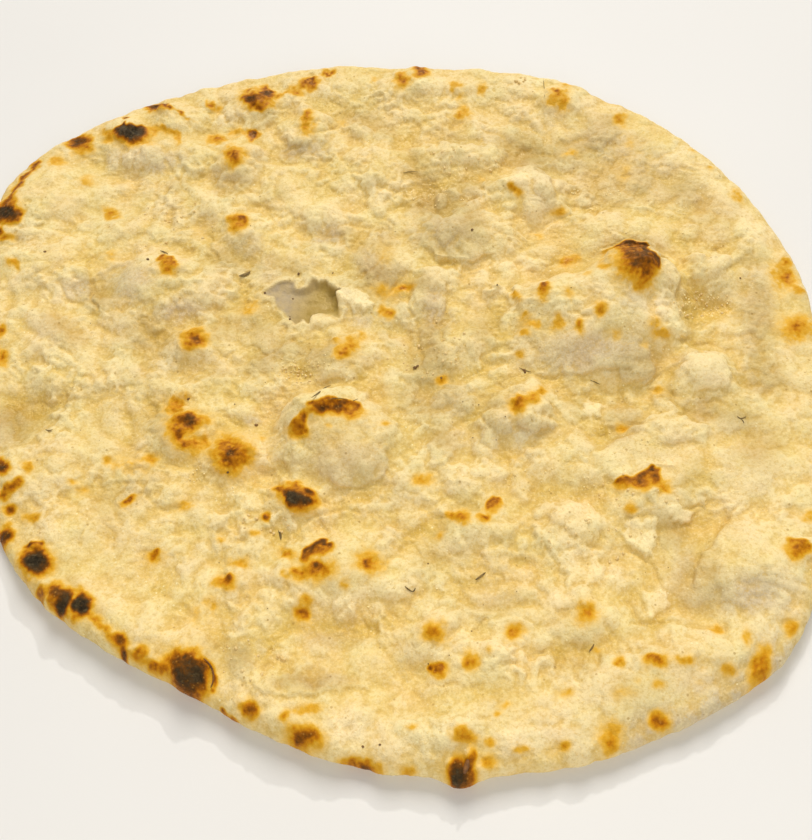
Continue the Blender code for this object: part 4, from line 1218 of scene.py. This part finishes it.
def grained(n, colour):
    """Crumbs, brown dots, painted glints on specks of fat, a slow drift of hue, and painted shade and light
    from two fields.
    """
    crumbs = n.noise(0.95, 4.0, 0.65)
    colour = n.mix(n.span(crumbs, 0.5, 0.68, 0.0, 0.5), colour, CRUMB_LOW)
    colour = n.mix(n.span(crumbs, 0.5, 0.34, 0.0, 0.4), colour, CRUMB_HIGH)
    colour = n.mix(n.times(n.dots(3.2, 0.14, 0.25), 0.55), colour, DOT_BROWN)
    # Painted highlights: bright dots that stand in for glints on fat.
    painted_bead_glints = n.times(n.dots(1.7, 0.2, 0.5), n.span(n.noise(9.0), 0.5, 0.62))
    colour = n.mix(n.times(painted_bead_glints, 0.6), colour, PAINTED_BEAD_GLINT)
    drift = n.mix(n.span(n.noise(11.0, 3.0, 0.55), 0.36, 0.64), ROSY_TINT, GREEN_TINT)
    colour = n.mix(1.0, colour, drift, "MULTIPLY")
    # Painted shade: darker, deeper colour where the relief should be shaded.
    colour = n.mix(n.field("painted_shade"), colour, PAINTED_SHADE_TINT, "MULTIPLY")
    # Brightens pale flakes and spots, partly as painted light.
    return n.mix(n.field("pale"), colour, PALE_AND_PAINTED_LIGHT_TINT, "MULTIPLY")


def torn(n, colour):
    """The floor of the burst blister, grey on the left and golden on the right."""
    inside = n.mix(n.field("side"), TEAR_LEFT, TEAR_RIGHT)
    inside = n.mix(n.span(n.noise(2.6, 4.0, 0.6), 0.35, 0.65, 0.0, 0.5), inside, TEAR_PATCH)
    return n.mix(n.field("tear"), colour, inside)


def scorched(n, colour, scorch):
    """Burns from gold to black, ashen in their middle and flecked paler where they are brown, the flecked
    dots partly painted glints.
    """
    burnt = n.ramp(scorch, SCORCH_RAMP, RAMP_TOP)
    ashen = n.times(n.span(scorch, 0.8, 1.05), n.span(n.noise(1.6, 3.0, 0.6), 0.5, 0.66, 0.0, 0.75))
    burnt = n.mix(ashen, burnt, ASH)
    colour = n.mix(n.span(scorch, 0.02, 0.2), colour, burnt)
    # Paler dots in brown burns, which partly stand in as painted glints.
    flecks_and_glints = n.times(n.dots(1.3, 0.26, 0.6), n.span(scorch, 0.35, 0.6, 0.0, 0.3))
    return n.mix(n.times(flecks_and_glints, n.span(scorch, 0.75, 1.0, 1.0, 0.15)), colour, BURNT_FLECK_AND_GLINT)


def crust_material():
    """Baked dough, whose look follows the fields that the crust's points carry."""
    n = Nodes("naan_crust_baked")
    grain = n.noise(0.9, 3.0, 0.6)
    wet = n.plus(n.field("butter"), n.span(n.noise(6.0, 3.0, 0.55), 0.42, 0.72, -0.1, 0.22), clamp=True)
    wet = n.plus(wet, n.span(grain, 0.3, 0.7, -0.12, 0.12), clamp=True)
    scorch = n.times(n.field("scorch"), n.span(grain, 0.3, 0.7, 0.87, 1.13))
    colour = scorched(n, torn(n, grained(n, dough_colour(n, wet))), scorch)
    speckle = n.grey(n.span(n.noise(0.5, 2.0, 0.7), 0.3, 0.7, 0.94, 1.06))
    rough = n.plus(n.span(wet, 0.0, 1.0, 0.56, 0.24), n.span(grain, 0.3, 0.7, -0.08, 0.08))
    rough = n.plus(rough, n.span(scorch, 0.3, 1.0, 0.0, 0.12), clamp=True)
    pimples = n.times(n.noise(1.5, 3.0, 0.6), n.span(n.field("skin"), 0.0, 1.0, 1.0, 0.6))
    return n.finish({
        "Base Color": n.mix(1.0, colour, speckle, "MULTIPLY"),
        "Roughness": rough,
        "Specular IOR Level": GLOSS_LEVEL,
        "Specular Tint": GLOSS_TINT,
        "Normal": n.bump(n.noise(0.5), 0.14, n.bump(pimples, 0.3)),
    })


# ---------------------------------------------------------------------------
# The crust: four quarters of the top and the underside, which share their border points
# ---------------------------------------------------------------------------
TOP_CELLS = 620
RIM_RINGS = 22
RIM_RELIEF_LOSS = 0.45

# Rings of the rounded foot: how far each lies in from the edge in millimetres, and how far down.
FOOT_RINGS = ((0.9, 0.35), (1.9, 0.7), (2.9, 0.9), (4.0, 1.0))
FOOT_BURN_WIDTH = 3.0
BASE_CELLS = 155
BASE_RISE = 0.35
BASE_LIFT = 0.06
BASE_GAP = 1.5
BASE_BUMPS = 0.7 * ripples(101, 9) + 0.4 * ripples(102, 3.5)
BASE_BAKE = ripples(103, 26, 0.9) + 0.35 * ripples(104, 11, 0.9)
BASE_WARM = ripples(105, 40)


def square_to_disc(cell_count):
    """Ring (0 to 1) and bearing of the points of a square grid, whose square rings become round."""
    side = np.linspace(-1, 1, cell_count + 1)
    u, v = np.meshgrid(side, side)
    sideways = np.abs(u) >= np.abs(v)
    reach = np.where(sideways, u, v)
    ring = np.abs(reach)
    start = np.where(sideways, 0, math.pi / 2) + np.where(reach < 0, math.pi, 0)
    slant = np.where(sideways, v, -u) / np.where(ring > 0, reach, 1)
    return ring, (start + math.pi / 4 * slant) % (2 * math.pi)


def grid_normals(places):
    """Unit normals of a grid of points, from its neighbours along rows and columns."""
    normals = np.cross(np.gradient(places, axis=1), np.gradient(places, axis=0))
    return normals / np.maximum(np.linalg.norm(normals, axis=2, keepdims=True), 1e-9)


def grid_faces(index, down=False):
    """Four-sided faces between the point numbers in a grid, which look up or down."""
    here, right, ahead, across = index[:-1, :-1], index[:-1, 1:], index[1:, :-1], index[1:, 1:]
    corners = (here, ahead, across, right) if down else (here, right, across, ahead)
    return np.stack([corner.ravel() for corner in corners], axis=1).tolist()


def edge_order(grid):
    """The outermost points of a grid, once round."""
    return np.concatenate([grid[0, :-1], grid[:-1, -1], grid[-1, :0:-1], grid[:0:-1, 0]])


def shape_top():
    """Places, normals and fields of the grid that becomes the top of the bread."""
    ring, bearing = square_to_disc(TOP_CELLS)
    radius = outline_radius(bearing)
    rings = np.rint(ring * TOP_CELLS / 2)
    level_rings = TOP_CELLS / 2 - RIM_RINGS
    around = np.maximum(rings - level_rings, 0) / RIM_RINGS * math.pi / 2
    distance = np.minimum(rings / level_rings, 1) * (radius - RIM_TOP_WIDTH) + RIM_TOP_WIDTH * np.sin(around)
    x, y = distance * np.cos(bearing), distance * np.sin(bearing)
    top = sample(HEIGHT, x, y)
    base = np.stack([x, y, EDGE_LEVEL + (top - EDGE_LEVEL) * np.cos(around)], axis=2)
    push = sample(RELIEF, x, y) * (1 - RIM_RELIEF_LOSS * smooth(0, math.pi / 2, around))
    places = base + grid_normals(base) * push[..., None]
    places[..., 2] += sample(CUT, x, y)
    return places, grid_normals(places), {name: sample(field, x, y) for name, field in FIELDS.items()}


def add_piece(name, places, normals, faces, fields, material):
    """Makes one mesh piece of the crust, rides it on the body and hides the CAD solid."""
    mesh = bpy.data.meshes.new(name)
    mesh.from_pydata((places * MM).tolist(), [], faces)
    for field_name, values in fields.items():
        made = mesh.attributes.new(field_name, "FLOAT", "POINT")
        made.data.foreach_set("value", np.ascontiguousarray(values, dtype=np.float32))
    mesh.shade_smooth()
    mesh.normals_split_custom_set_from_vertices(normals.tolist())
    mesh.materials.append(material)
    piece = bpy.data.objects.new(name, mesh)
    bpy.context.scene.collection.objects.link(piece)
    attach(piece, "root")
    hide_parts("naan")


def make_top(places, normals, fields, material):
    """The top in four quarters."""
    half = TOP_CELLS // 2
    faces = grid_faces(np.arange((half + 1) ** 2).reshape(half + 1, half + 1))
    for name, row, column in (("near_left", 0, 0), ("near_right", 0, half),
                              ("far_left", half, 0), ("far_right", half, half)):
        part = (slice(row, row + half + 1), slice(column, column + half + 1))
        add_piece("crust_" + name, places[part].reshape(-1, 3), normals[part].reshape(-1, 3), faces,
                  {field: values[part].ravel() for field, values in fields.items()}, material)


def foot_rings(edge, outward, scorch):
    """The rounded foot under the top's edge: places, directions and burns, ring by ring."""
    bearing = np.arctan2(edge[:, 1], edge[:, 0])
    reach = np.hypot(edge[:, 0], edge[:, 1])
    rings, directions, burns = [edge], [outward], [scorch]
    for inset, drop in FOOT_RINGS:
        radius = reach - inset
        height = edge[:, 2] * (1 - drop)
        ring = np.stack([radius * np.cos(bearing), radius * np.sin(bearing), height], axis=1)
        lean = max(0.0, 1 - inset / RIM_FOOT_WIDTH)
        direction = outward * lean + np.array([0, 0, lean - 1])
        rings.append(ring)
        directions.append(direction / np.linalg.norm(direction, axis=1, keepdims=True))
        burns.append(scorch * max(0.0, 1 - inset / FOOT_BURN_WIDTH))
    return rings, directions, burns


def base_grid():
    """The flat underside inside the foot: places, directions, burns and tone of its points."""
    ring, bearing = square_to_disc(BASE_CELLS)
    reach = ring * (outline_radius(bearing) - FOOT_RINGS[-1][0] - BASE_GAP)
    x, y = reach * np.cos(bearing), reach * np.sin(bearing)
    fade = smooth(0, 0.06, 1 - ring)
    rise = (BASE_LIFT + BASE_RISE * smooth(0.1, 1.3, sample(BASE_BUMPS, x, y))) * fade
    grid = np.stack([x, y, rise], axis=2)
    directions = -grid_normals(grid)
    directions[fade == 0] = (0, 0, -1)
    baked = 0.62 * smooth(0.1, 2.6, sample(BASE_BAKE, x, y))
    baked += 0.10 * smooth(-0.5, 1.5, sample(BASE_WARM, x, y))
    return grid, directions, baked * fade, 0.5 * sample(BASE_BUMPS, x, y)


def border_faces(ring, border):
    """Faces from each border point of the grid to the several points of the ring beside it."""
    step = len(ring) // len(border)
    faces = []
    for k, here in enumerate(border):
        there = border[(k + 1) % len(border)]
        fan = [ring[(step * k + m) % len(ring)] for m in range(step + 1)]
        faces.append([here, there, fan[-1], fan[-2], fan[-3]])
        faces.append([here, fan[2], fan[1], fan[0]])
    return faces


def make_underside(places, normals, fields, material):
    """The foot in rings under the top's edge, joined to a coarser grid that is the flat underside."""
    edge = edge_order(places)
    rings, directions, burns = foot_rings(edge, edge_order(normals), edge_order(fields["scorch"]))
    grid, base_directions, baked, tone = base_grid()
    foot_count = len(rings) * len(edge)
    foot = np.arange(foot_count).reshape(len(rings), len(edge))
    base = foot_count + np.arange(baked.size).reshape(baked.shape)
    faces = grid_faces(np.hstack([foot, foot[:, :1]]), down=True) + grid_faces(base, down=True)
    faces += border_faces(foot[-1], edge_order(base))
    all_places = np.concatenate(rings + [grid.reshape(-1, 3)])
    all_directions = np.concatenate(directions + [base_directions.reshape(-1, 3)])
    own = dict.fromkeys(fields, np.zeros(len(all_places)))
    own["scorch"] = np.concatenate(burns + [baked.ravel()])
    own["tone"] = np.concatenate([np.zeros(foot_count), tone.ravel()])
    own["skin"] = np.ones(len(all_places))
    add_piece("crust_underside", all_places, all_directions, faces, own, material)


def make_crust():
    top = shape_top()
    material = crust_material()
    make_top(*top, material)
    make_underside(*top, material)


make_crust()


# ---------------------------------------------------------------------------
# Small bits on the crust: herb slivers, curled char, crumbs, beads of butter and dark specks
# ---------------------------------------------------------------------------
# A strip: half its width, its height, the lift of its ends and a path of columns and rows.
Strip = namedtuple("Strip", "half tall lift points")
HERB_STRIPS = (
    Strip(0.62, 0.4, 0.3, ((239.5, 277), (244, 275.5), (250.5, 272.5))),
    Strip(0.30, 0.3, 0.2, ((312, 399), (320, 393), (327, 387.5), (331, 387))),
    Strip(0.13, 0.12, 0.1, ((328, 400), (334, 398.5), (341, 398.5), (348, 400))),
    Strip(0.13, 0.12, 0.1, ((353, 401), (358, 399))),
    Strip(0.15, 0.12, 0.1, ((403, 173), (410, 171.5), (418, 172))),
    Strip(0.24, 0.2, 0.3, ((405, 587), (409, 590), (412, 592))),
    Strip(0.18, 0.15, 0.3, ((411.5, 592.5), (414, 591), (415.5, 588.5))),
    Strip(0.30, 0.2, 0.3, ((475.5, 580.5), (480, 577), (485.5, 573))),
    Strip(0.22, 0.2, 0.2, ((589, 652), (592, 648), (594, 644.5))),
    Strip(0.30, 0.2, 0.2, ((160.5, 251), (164, 252), (168, 254.5))),
    Strip(0.22, 0.2, 0.2, ((737, 417), (741, 419), (746, 417))),
    Strip(0.16, 0.15, 0.2, ((741, 419), (743, 421), (744, 423.5))),
    Strip(0.34, 0.3, 0.2, ((279, 531), (280.5, 535), (281, 539.5))),
    Strip(0.16, 0.15, 0.2, ((519, 368), (524, 370), (531, 372.5))),
    Strip(0.15, 0.12, 0.2, ((590, 380.5), (595, 382), (600, 385))),
    Strip(0.10, 0.10, 0.0, ((543, 80), (544, 87), (544.5, 98))),
    Strip(0.22, 0.2, 0.2, ((46, 430), (49, 431), (53, 430))),
)
CHAR_STRIPS = (
    Strip(0.25, 0.6, 0.0, ((204, 659), (209, 663), (213, 670), (214.5, 679), (211, 688))),
    Strip(0.7, 1.0, 0.0, ((464, 774), (466.5, 767), (468, 760))),
)
STRIP_RINGS = 14
STRIP_SIDES = 8
STRIP_ROUNDING = 3
STRIP_TAPER = 0.6
MOST_RAISED = 0.5

# An oval group of bits: how many, their radius in millimetres, and its middle, width and height.
Group = namedtuple("Group", "count radius column row wide high")
DOUGH_GROUPS = (
    Group(6, 0.5, 524, 82, 20, 10), Group(26, 0.32, 703, 304, 60, 30), Group(26, 0.30, 292, 371, 60, 30),
    Group(22, 0.32, 180, 225, 90, 50), Group(24, 0.32, 430, 350, 90, 60), Group(20, 0.32, 640, 490, 90, 40),
    Group(20, 0.32, 250, 660, 70, 40), Group(18, 0.35, 470, 160, 90, 30), Group(24, 0.30, 590, 540, 110, 50),
    Group(18, 0.32, 270, 520, 60, 30),
)
BUTTER_GROUPS = (
    Group(12, 0.20, 613, 195, 16, 12), Group(10, 0.20, 684, 212, 16, 9), Group(34, 0.22, 703, 304, 54, 26),
    Group(26, 0.20, 292, 371, 30, 20), Group(8, 0.22, 575, 190, 12, 8), Group(20, 0.20, 440, 195, 60, 36),
    Group(24, 0.20, 560, 480, 110, 28), Group(20, 0.20, 600, 445, 110, 24),
    Group(20, 0.20, 400, 600, 110, 40), Group(16, 0.20, 330, 360, 70, 20),
    Group(16, 0.20, 650, 225, 90, 30), Group(16, 0.20, 210, 480, 90, 40),
)
SPECK_GROUPS = (
    Group(1, 0.45, 228, 473, 1, 1), Group(1, 0.42, 472, 229.5, 1, 1), Group(1, 0.40, 45, 252, 1, 1),
    Group(1, 0.40, 148, 259, 1, 1), Group(2, 0.40, 416, 367, 6, 3), Group(1, 0.45, 740, 278, 1, 1),
    Group(1, 0.40, 428, 564, 1, 1), Group(1, 0.42, 189, 399, 1, 1), Group(1, 0.42, 256, 425, 1, 1),
    Group(3, 0.32, 525, 370, 12, 5), Group(1, 0.38, 441, 378, 1, 1), Group(1, 0.40, 497, 285, 1, 1),
    Group(1, 0.25, 363, 747, 1, 1), Group(1, 0.25, 380, 745, 1, 1), Group(1, 0.45, 265, 293.5, 1, 1),
    Group(1, 0.4, 292.5, 299, 1, 1), Group(1, 0.4, 299, 274, 1, 1), Group(1, 0.4, 332.5, 273, 1, 1),
    Group(2, 0.3, 290, 318, 6, 4), Group(28, 0.15, 400, 420, 660, 560), Group(5, 0.16, 480, 420, 60, 60),
)

# The shape of a kind's bits: how flat and how uneven they are, the subdivisions of their sphere, the
# darkest crust that they lie on, and the seed of their draws.
Lump = namedtuple("Lump", "flatness uneven subdivisions most_scorch seed")
DOUGH_LUMP = Lump(0.7, 0.22, 2, 0.12, 305)
BUTTER_LUMP = Lump(0.8, 0.05, 2, 0.12, 306)
SPECK_LUMP = Lump(0.45, 0.22, 1, math.inf, 305)
SUNK = 0.2
TYPICAL_HEIGHT = 6.0
RAY_STEPS = 12


def surface_place(column, row):
    """Where the camera's ray through a pixel meets the top of the crust, in millimetres."""
    ray = pixel_ray(column, row)
    height = TYPICAL_HEIGHT
    for _ in range(RAY_STEPS):
        reach = (height - CAMERA_PLACE[2]) / ray.z
        place = Vector(CAMERA_PLACE) + ray * reach
        height = float(sample(SURFACE, np.array([place.x]), np.array([place.y]))[0])
    return Vector((place.x, place.y, height))


def strip_track(strip):
    """The middle line of a strip in even steps, raised clear of the crust, and how far along each is."""
    corners = np.array([tuple(surface_place(column, row)) for column, row in strip.points])
    steps = np.linalg.norm(np.diff(corners, axis=0), axis=1)
    walked = np.concatenate([[0], np.cumsum(steps)])
    share = np.linspace(0, 1, STRIP_RINGS)
    track = np.stack([np.interp(share * walked[-1], walked, axis) for axis in corners.T], axis=1)
    for _ in range(STRIP_ROUNDING):
        track[1:-1] = 0.25 * track[:-2] + 0.5 * track[1:-1] + 0.25 * track[2:]
    buried = np.max(sample(SURFACE, track[:, 0], track[:, 1]) - track[:, 2])
    raised = min(max(buried, 0), MOST_RAISED) + 0.3 * strip.tall
    track[:, 2] += raised + strip.lift * np.abs(2 * share - 1) ** 3
    return track, share


def add_strip(bm, strip):
    """A tapered strip with an oval section, laid along its path on the crust."""
    track, share = strip_track(strip)
    rings = []
    for index, middle in enumerate(track):
        ahead = track[min(index + 1, STRIP_RINGS - 1)] - track[max(index - 1, 0)]
        across = np.cross(ahead, (0, 0, 1))
        across /= np.linalg.norm(across)
        taper = math.sin(math.pi * (0.06 + 0.88 * share[index])) ** STRIP_TAPER
        ring = []
        for turn in np.arange(STRIP_SIDES) / STRIP_SIDES * 2 * math.pi:
            offset = across * strip.half * math.cos(turn)
            offset[2] += 0.5 * strip.tall * math.sin(turn)
            ring.append(bm.verts.new((middle + offset * taper) * MM))
        rings.append(ring)
    for before, after in zip(rings, rings[1:]):
        for side in range(STRIP_SIDES):
            next_side = (side + 1) % STRIP_SIDES
            bm.faces.new((before[side], before[next_side], after[next_side], after[side]))
    bm.faces.new(rings[0][::-1])
    bm.faces.new(rings[-1])


def add_group(bm, group, lump, rng):
    """Irregular rounded bits, half sunk into the crust, scattered evenly over an oval."""
    for _ in range(group.count):
        reach, turn = math.sqrt(rng.random()), rng.random() * 2 * math.pi
        place = surface_place(group.column + 0.5 * group.wide * reach * math.cos(turn),
                              group.row + 0.5 * group.high * reach * math.sin(turn))
        radius = group.radius * (0.6 + 0.8 * rng.random())
        if sample(SCORCH, place.x, place.y) > lump.most_scorch:
            continue
        made = bmesh.ops.create_icosphere(bm, subdivisions=lump.subdivisions, radius=1)
        lean = Matrix.Rotation(rng.random() * math.pi, 3, "Z")
        stretch = Vector((1 + 0.5 * rng.random(), 1, lump.flatness)) * radius
        for vert in made["verts"]:
            wobble = 1 + lump.uneven * (rng.random() - 0.5)
            vert.co = (place + lean @ (vert.co * stretch) * wobble + Vector((0, 0, SUNK * radius))) * MM


def plain_material(name, low, high, size, rough):
    """A material mottled between two colours, with patches of a size in millimetres."""
    n = Nodes(name)
    return n.finish({
        "Base Color": n.mix(n.span(n.noise(size, 3.0, 0.6), 0.3, 0.7), low, high),
        "Roughness": n.span(n.noise(0.5 * size), 0.3, 0.7, rough - 0.1, rough + 0.1),
        "Normal": n.bump(n.noise(0.4, 3.0, 0.6), 0.12),
    })


def add_bits(name, bm, material):
    """Turns the bits of one kind into one object, which rides on the body."""
    mesh = bpy.data.meshes.new(name)
    bm.to_mesh(mesh)
    bm.free()
    mesh.shade_smooth()
    mesh.materials.append(material)
    piece = bpy.data.objects.new(name, mesh)
    bpy.context.scene.collection.objects.link(piece)
    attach(piece, "root")


def make_strips(name, strips, material):
    """One object of strips."""
    bm = bmesh.new()
    for strip in strips:
        add_strip(bm, strip)
    add_bits(name, bm, material)


def make_lumps(name, groups, lump, material):
    """One object of rounded bits of one kind."""
    bm = bmesh.new()
    rng = np.random.default_rng(lump.seed)
    for group in groups:
        add_group(bm, group, lump, rng)
    add_bits(name, bm, material)


HERB = plain_material("herb_dried", (0.075, 0.052, 0.014), (0.30, 0.19, 0.05), 1.5, 0.75)
CHAR = plain_material("char_curled", (0.07, 0.025, 0.006), (0.30, 0.12, 0.022), 2.0, 0.65)
SPECK = plain_material("speck_burnt", (0.10, 0.045, 0.010), (0.26, 0.13, 0.03), 2.0, 0.6)
CRUMB = plain_material("crumb_baked", (0.72, 0.49, 0.16), (0.88, 0.70, 0.36), 2.5, 0.6)
BEAD = plain_material("butter_set", (0.88, 0.66, 0.22), (0.96, 0.84, 0.48), 2.5, 0.25)
make_strips("herb_slivers", HERB_STRIPS, HERB)
make_strips("char_curls", CHAR_STRIPS, CHAR)
make_lumps("dark_specks", SPECK_GROUPS, SPECK_LUMP, SPECK)
make_lumps("dough_crumbs", DOUGH_GROUPS, DOUGH_LUMP, CRUMB)
make_lumps("butter_beads", BUTTER_GROUPS, BUTTER_LUMP, BEAD)


# ---------------------------------------------------------------------------
# Floor, light and camera
# ---------------------------------------------------------------------------
FLOOR_HALF = 3.0
FLOOR_SHADES = ((0.78, 0.78, 0.78), (0.82, 0.82, 0.82))
FLOOR_PATCH = 120.0
FLOOR_ROUGHNESS = 0.7
# Square lamps, aimed at the middle: place and side in metres, power in watts and colour.
Lamp = namedtuple("Lamp", "name place side power colour")
LAMPS = (
    Lamp("key", (0.17, 2.4, 2.5), 1.5, 75.0, (1.0, 0.96, 0.90)),
    Lamp("glint", (0.7, 2.8, 1.95), 0.1, 29.0, (1.0, 0.96, 0.90)),
    Lamp("fill", (0.1, -0.7, 0.55), 0.8, 3.4, (1.0, 0.95, 0.86)),
)
WORLD_COLOUR = (1.0, 0.96, 0.88)
WORLD_STRENGTH = 0.33


def make_floor():
    bm = bmesh.new()
    bmesh.ops.create_grid(bm, x_segments=1, y_segments=1, size=FLOOR_HALF)
    mesh = bpy.data.meshes.new("floor")
    bm.to_mesh(mesh)
    bm.free()
    floor = bpy.data.objects.new("floor", mesh)
    bpy.context.scene.collection.objects.link(floor)
    n = Nodes("floor_pale")
    shade = n.mix(n.noise(FLOOR_PATCH), *FLOOR_SHADES)
    mesh.materials.append(n.finish({"Base Color": shade, "Roughness": FLOOR_ROUGHNESS}))


def make_lamp(lamp):
    data = bpy.data.lights.new(lamp.name, "AREA")
    data.size = lamp.side
    data.energy = lamp.power
    data.color = lamp.colour
    light = bpy.data.objects.new(lamp.name, data)
    bpy.context.scene.collection.objects.link(light)
    light.location = lamp.place
    light.rotation_euler = (-Vector(lamp.place)).to_track_quat("-Z", "Y").to_euler()


def make_world():
    world = bpy.data.worlds.new("surroundings")
    bpy.context.scene.world = world
    world.use_nodes = True
    background = world.node_tree.nodes["Background"]
    background.inputs["Color"].default_value = (*WORLD_COLOUR, 1)
    background.inputs["Strength"].default_value = WORLD_STRENGTH
    bpy.context.scene.view_settings.view_transform = "Standard"


def make_camera():
    data = bpy.data.cameras.new("camera")
    data.sensor_width = SENSOR_WIDTH
    data.lens = FOCAL_PIXELS * SENSOR_WIDTH / max(IMAGE_WIDTH, IMAGE_HEIGHT)
    data.clip_start = NEAREST_SEEN
    camera = bpy.data.objects.new("camera", data)
    bpy.context.scene.collection.objects.link(camera)
    turn = Matrix((RIGHT, UP, -FORWARD)).transposed().to_4x4()
    camera.matrix_world = Matrix.Translation(Vector(CAMERA_PLACE) * MM) @ turn
    bpy.context.scene.camera = camera


make_floor()
for lamp in LAMPS:
    make_lamp(lamp)
make_world()
make_camera()
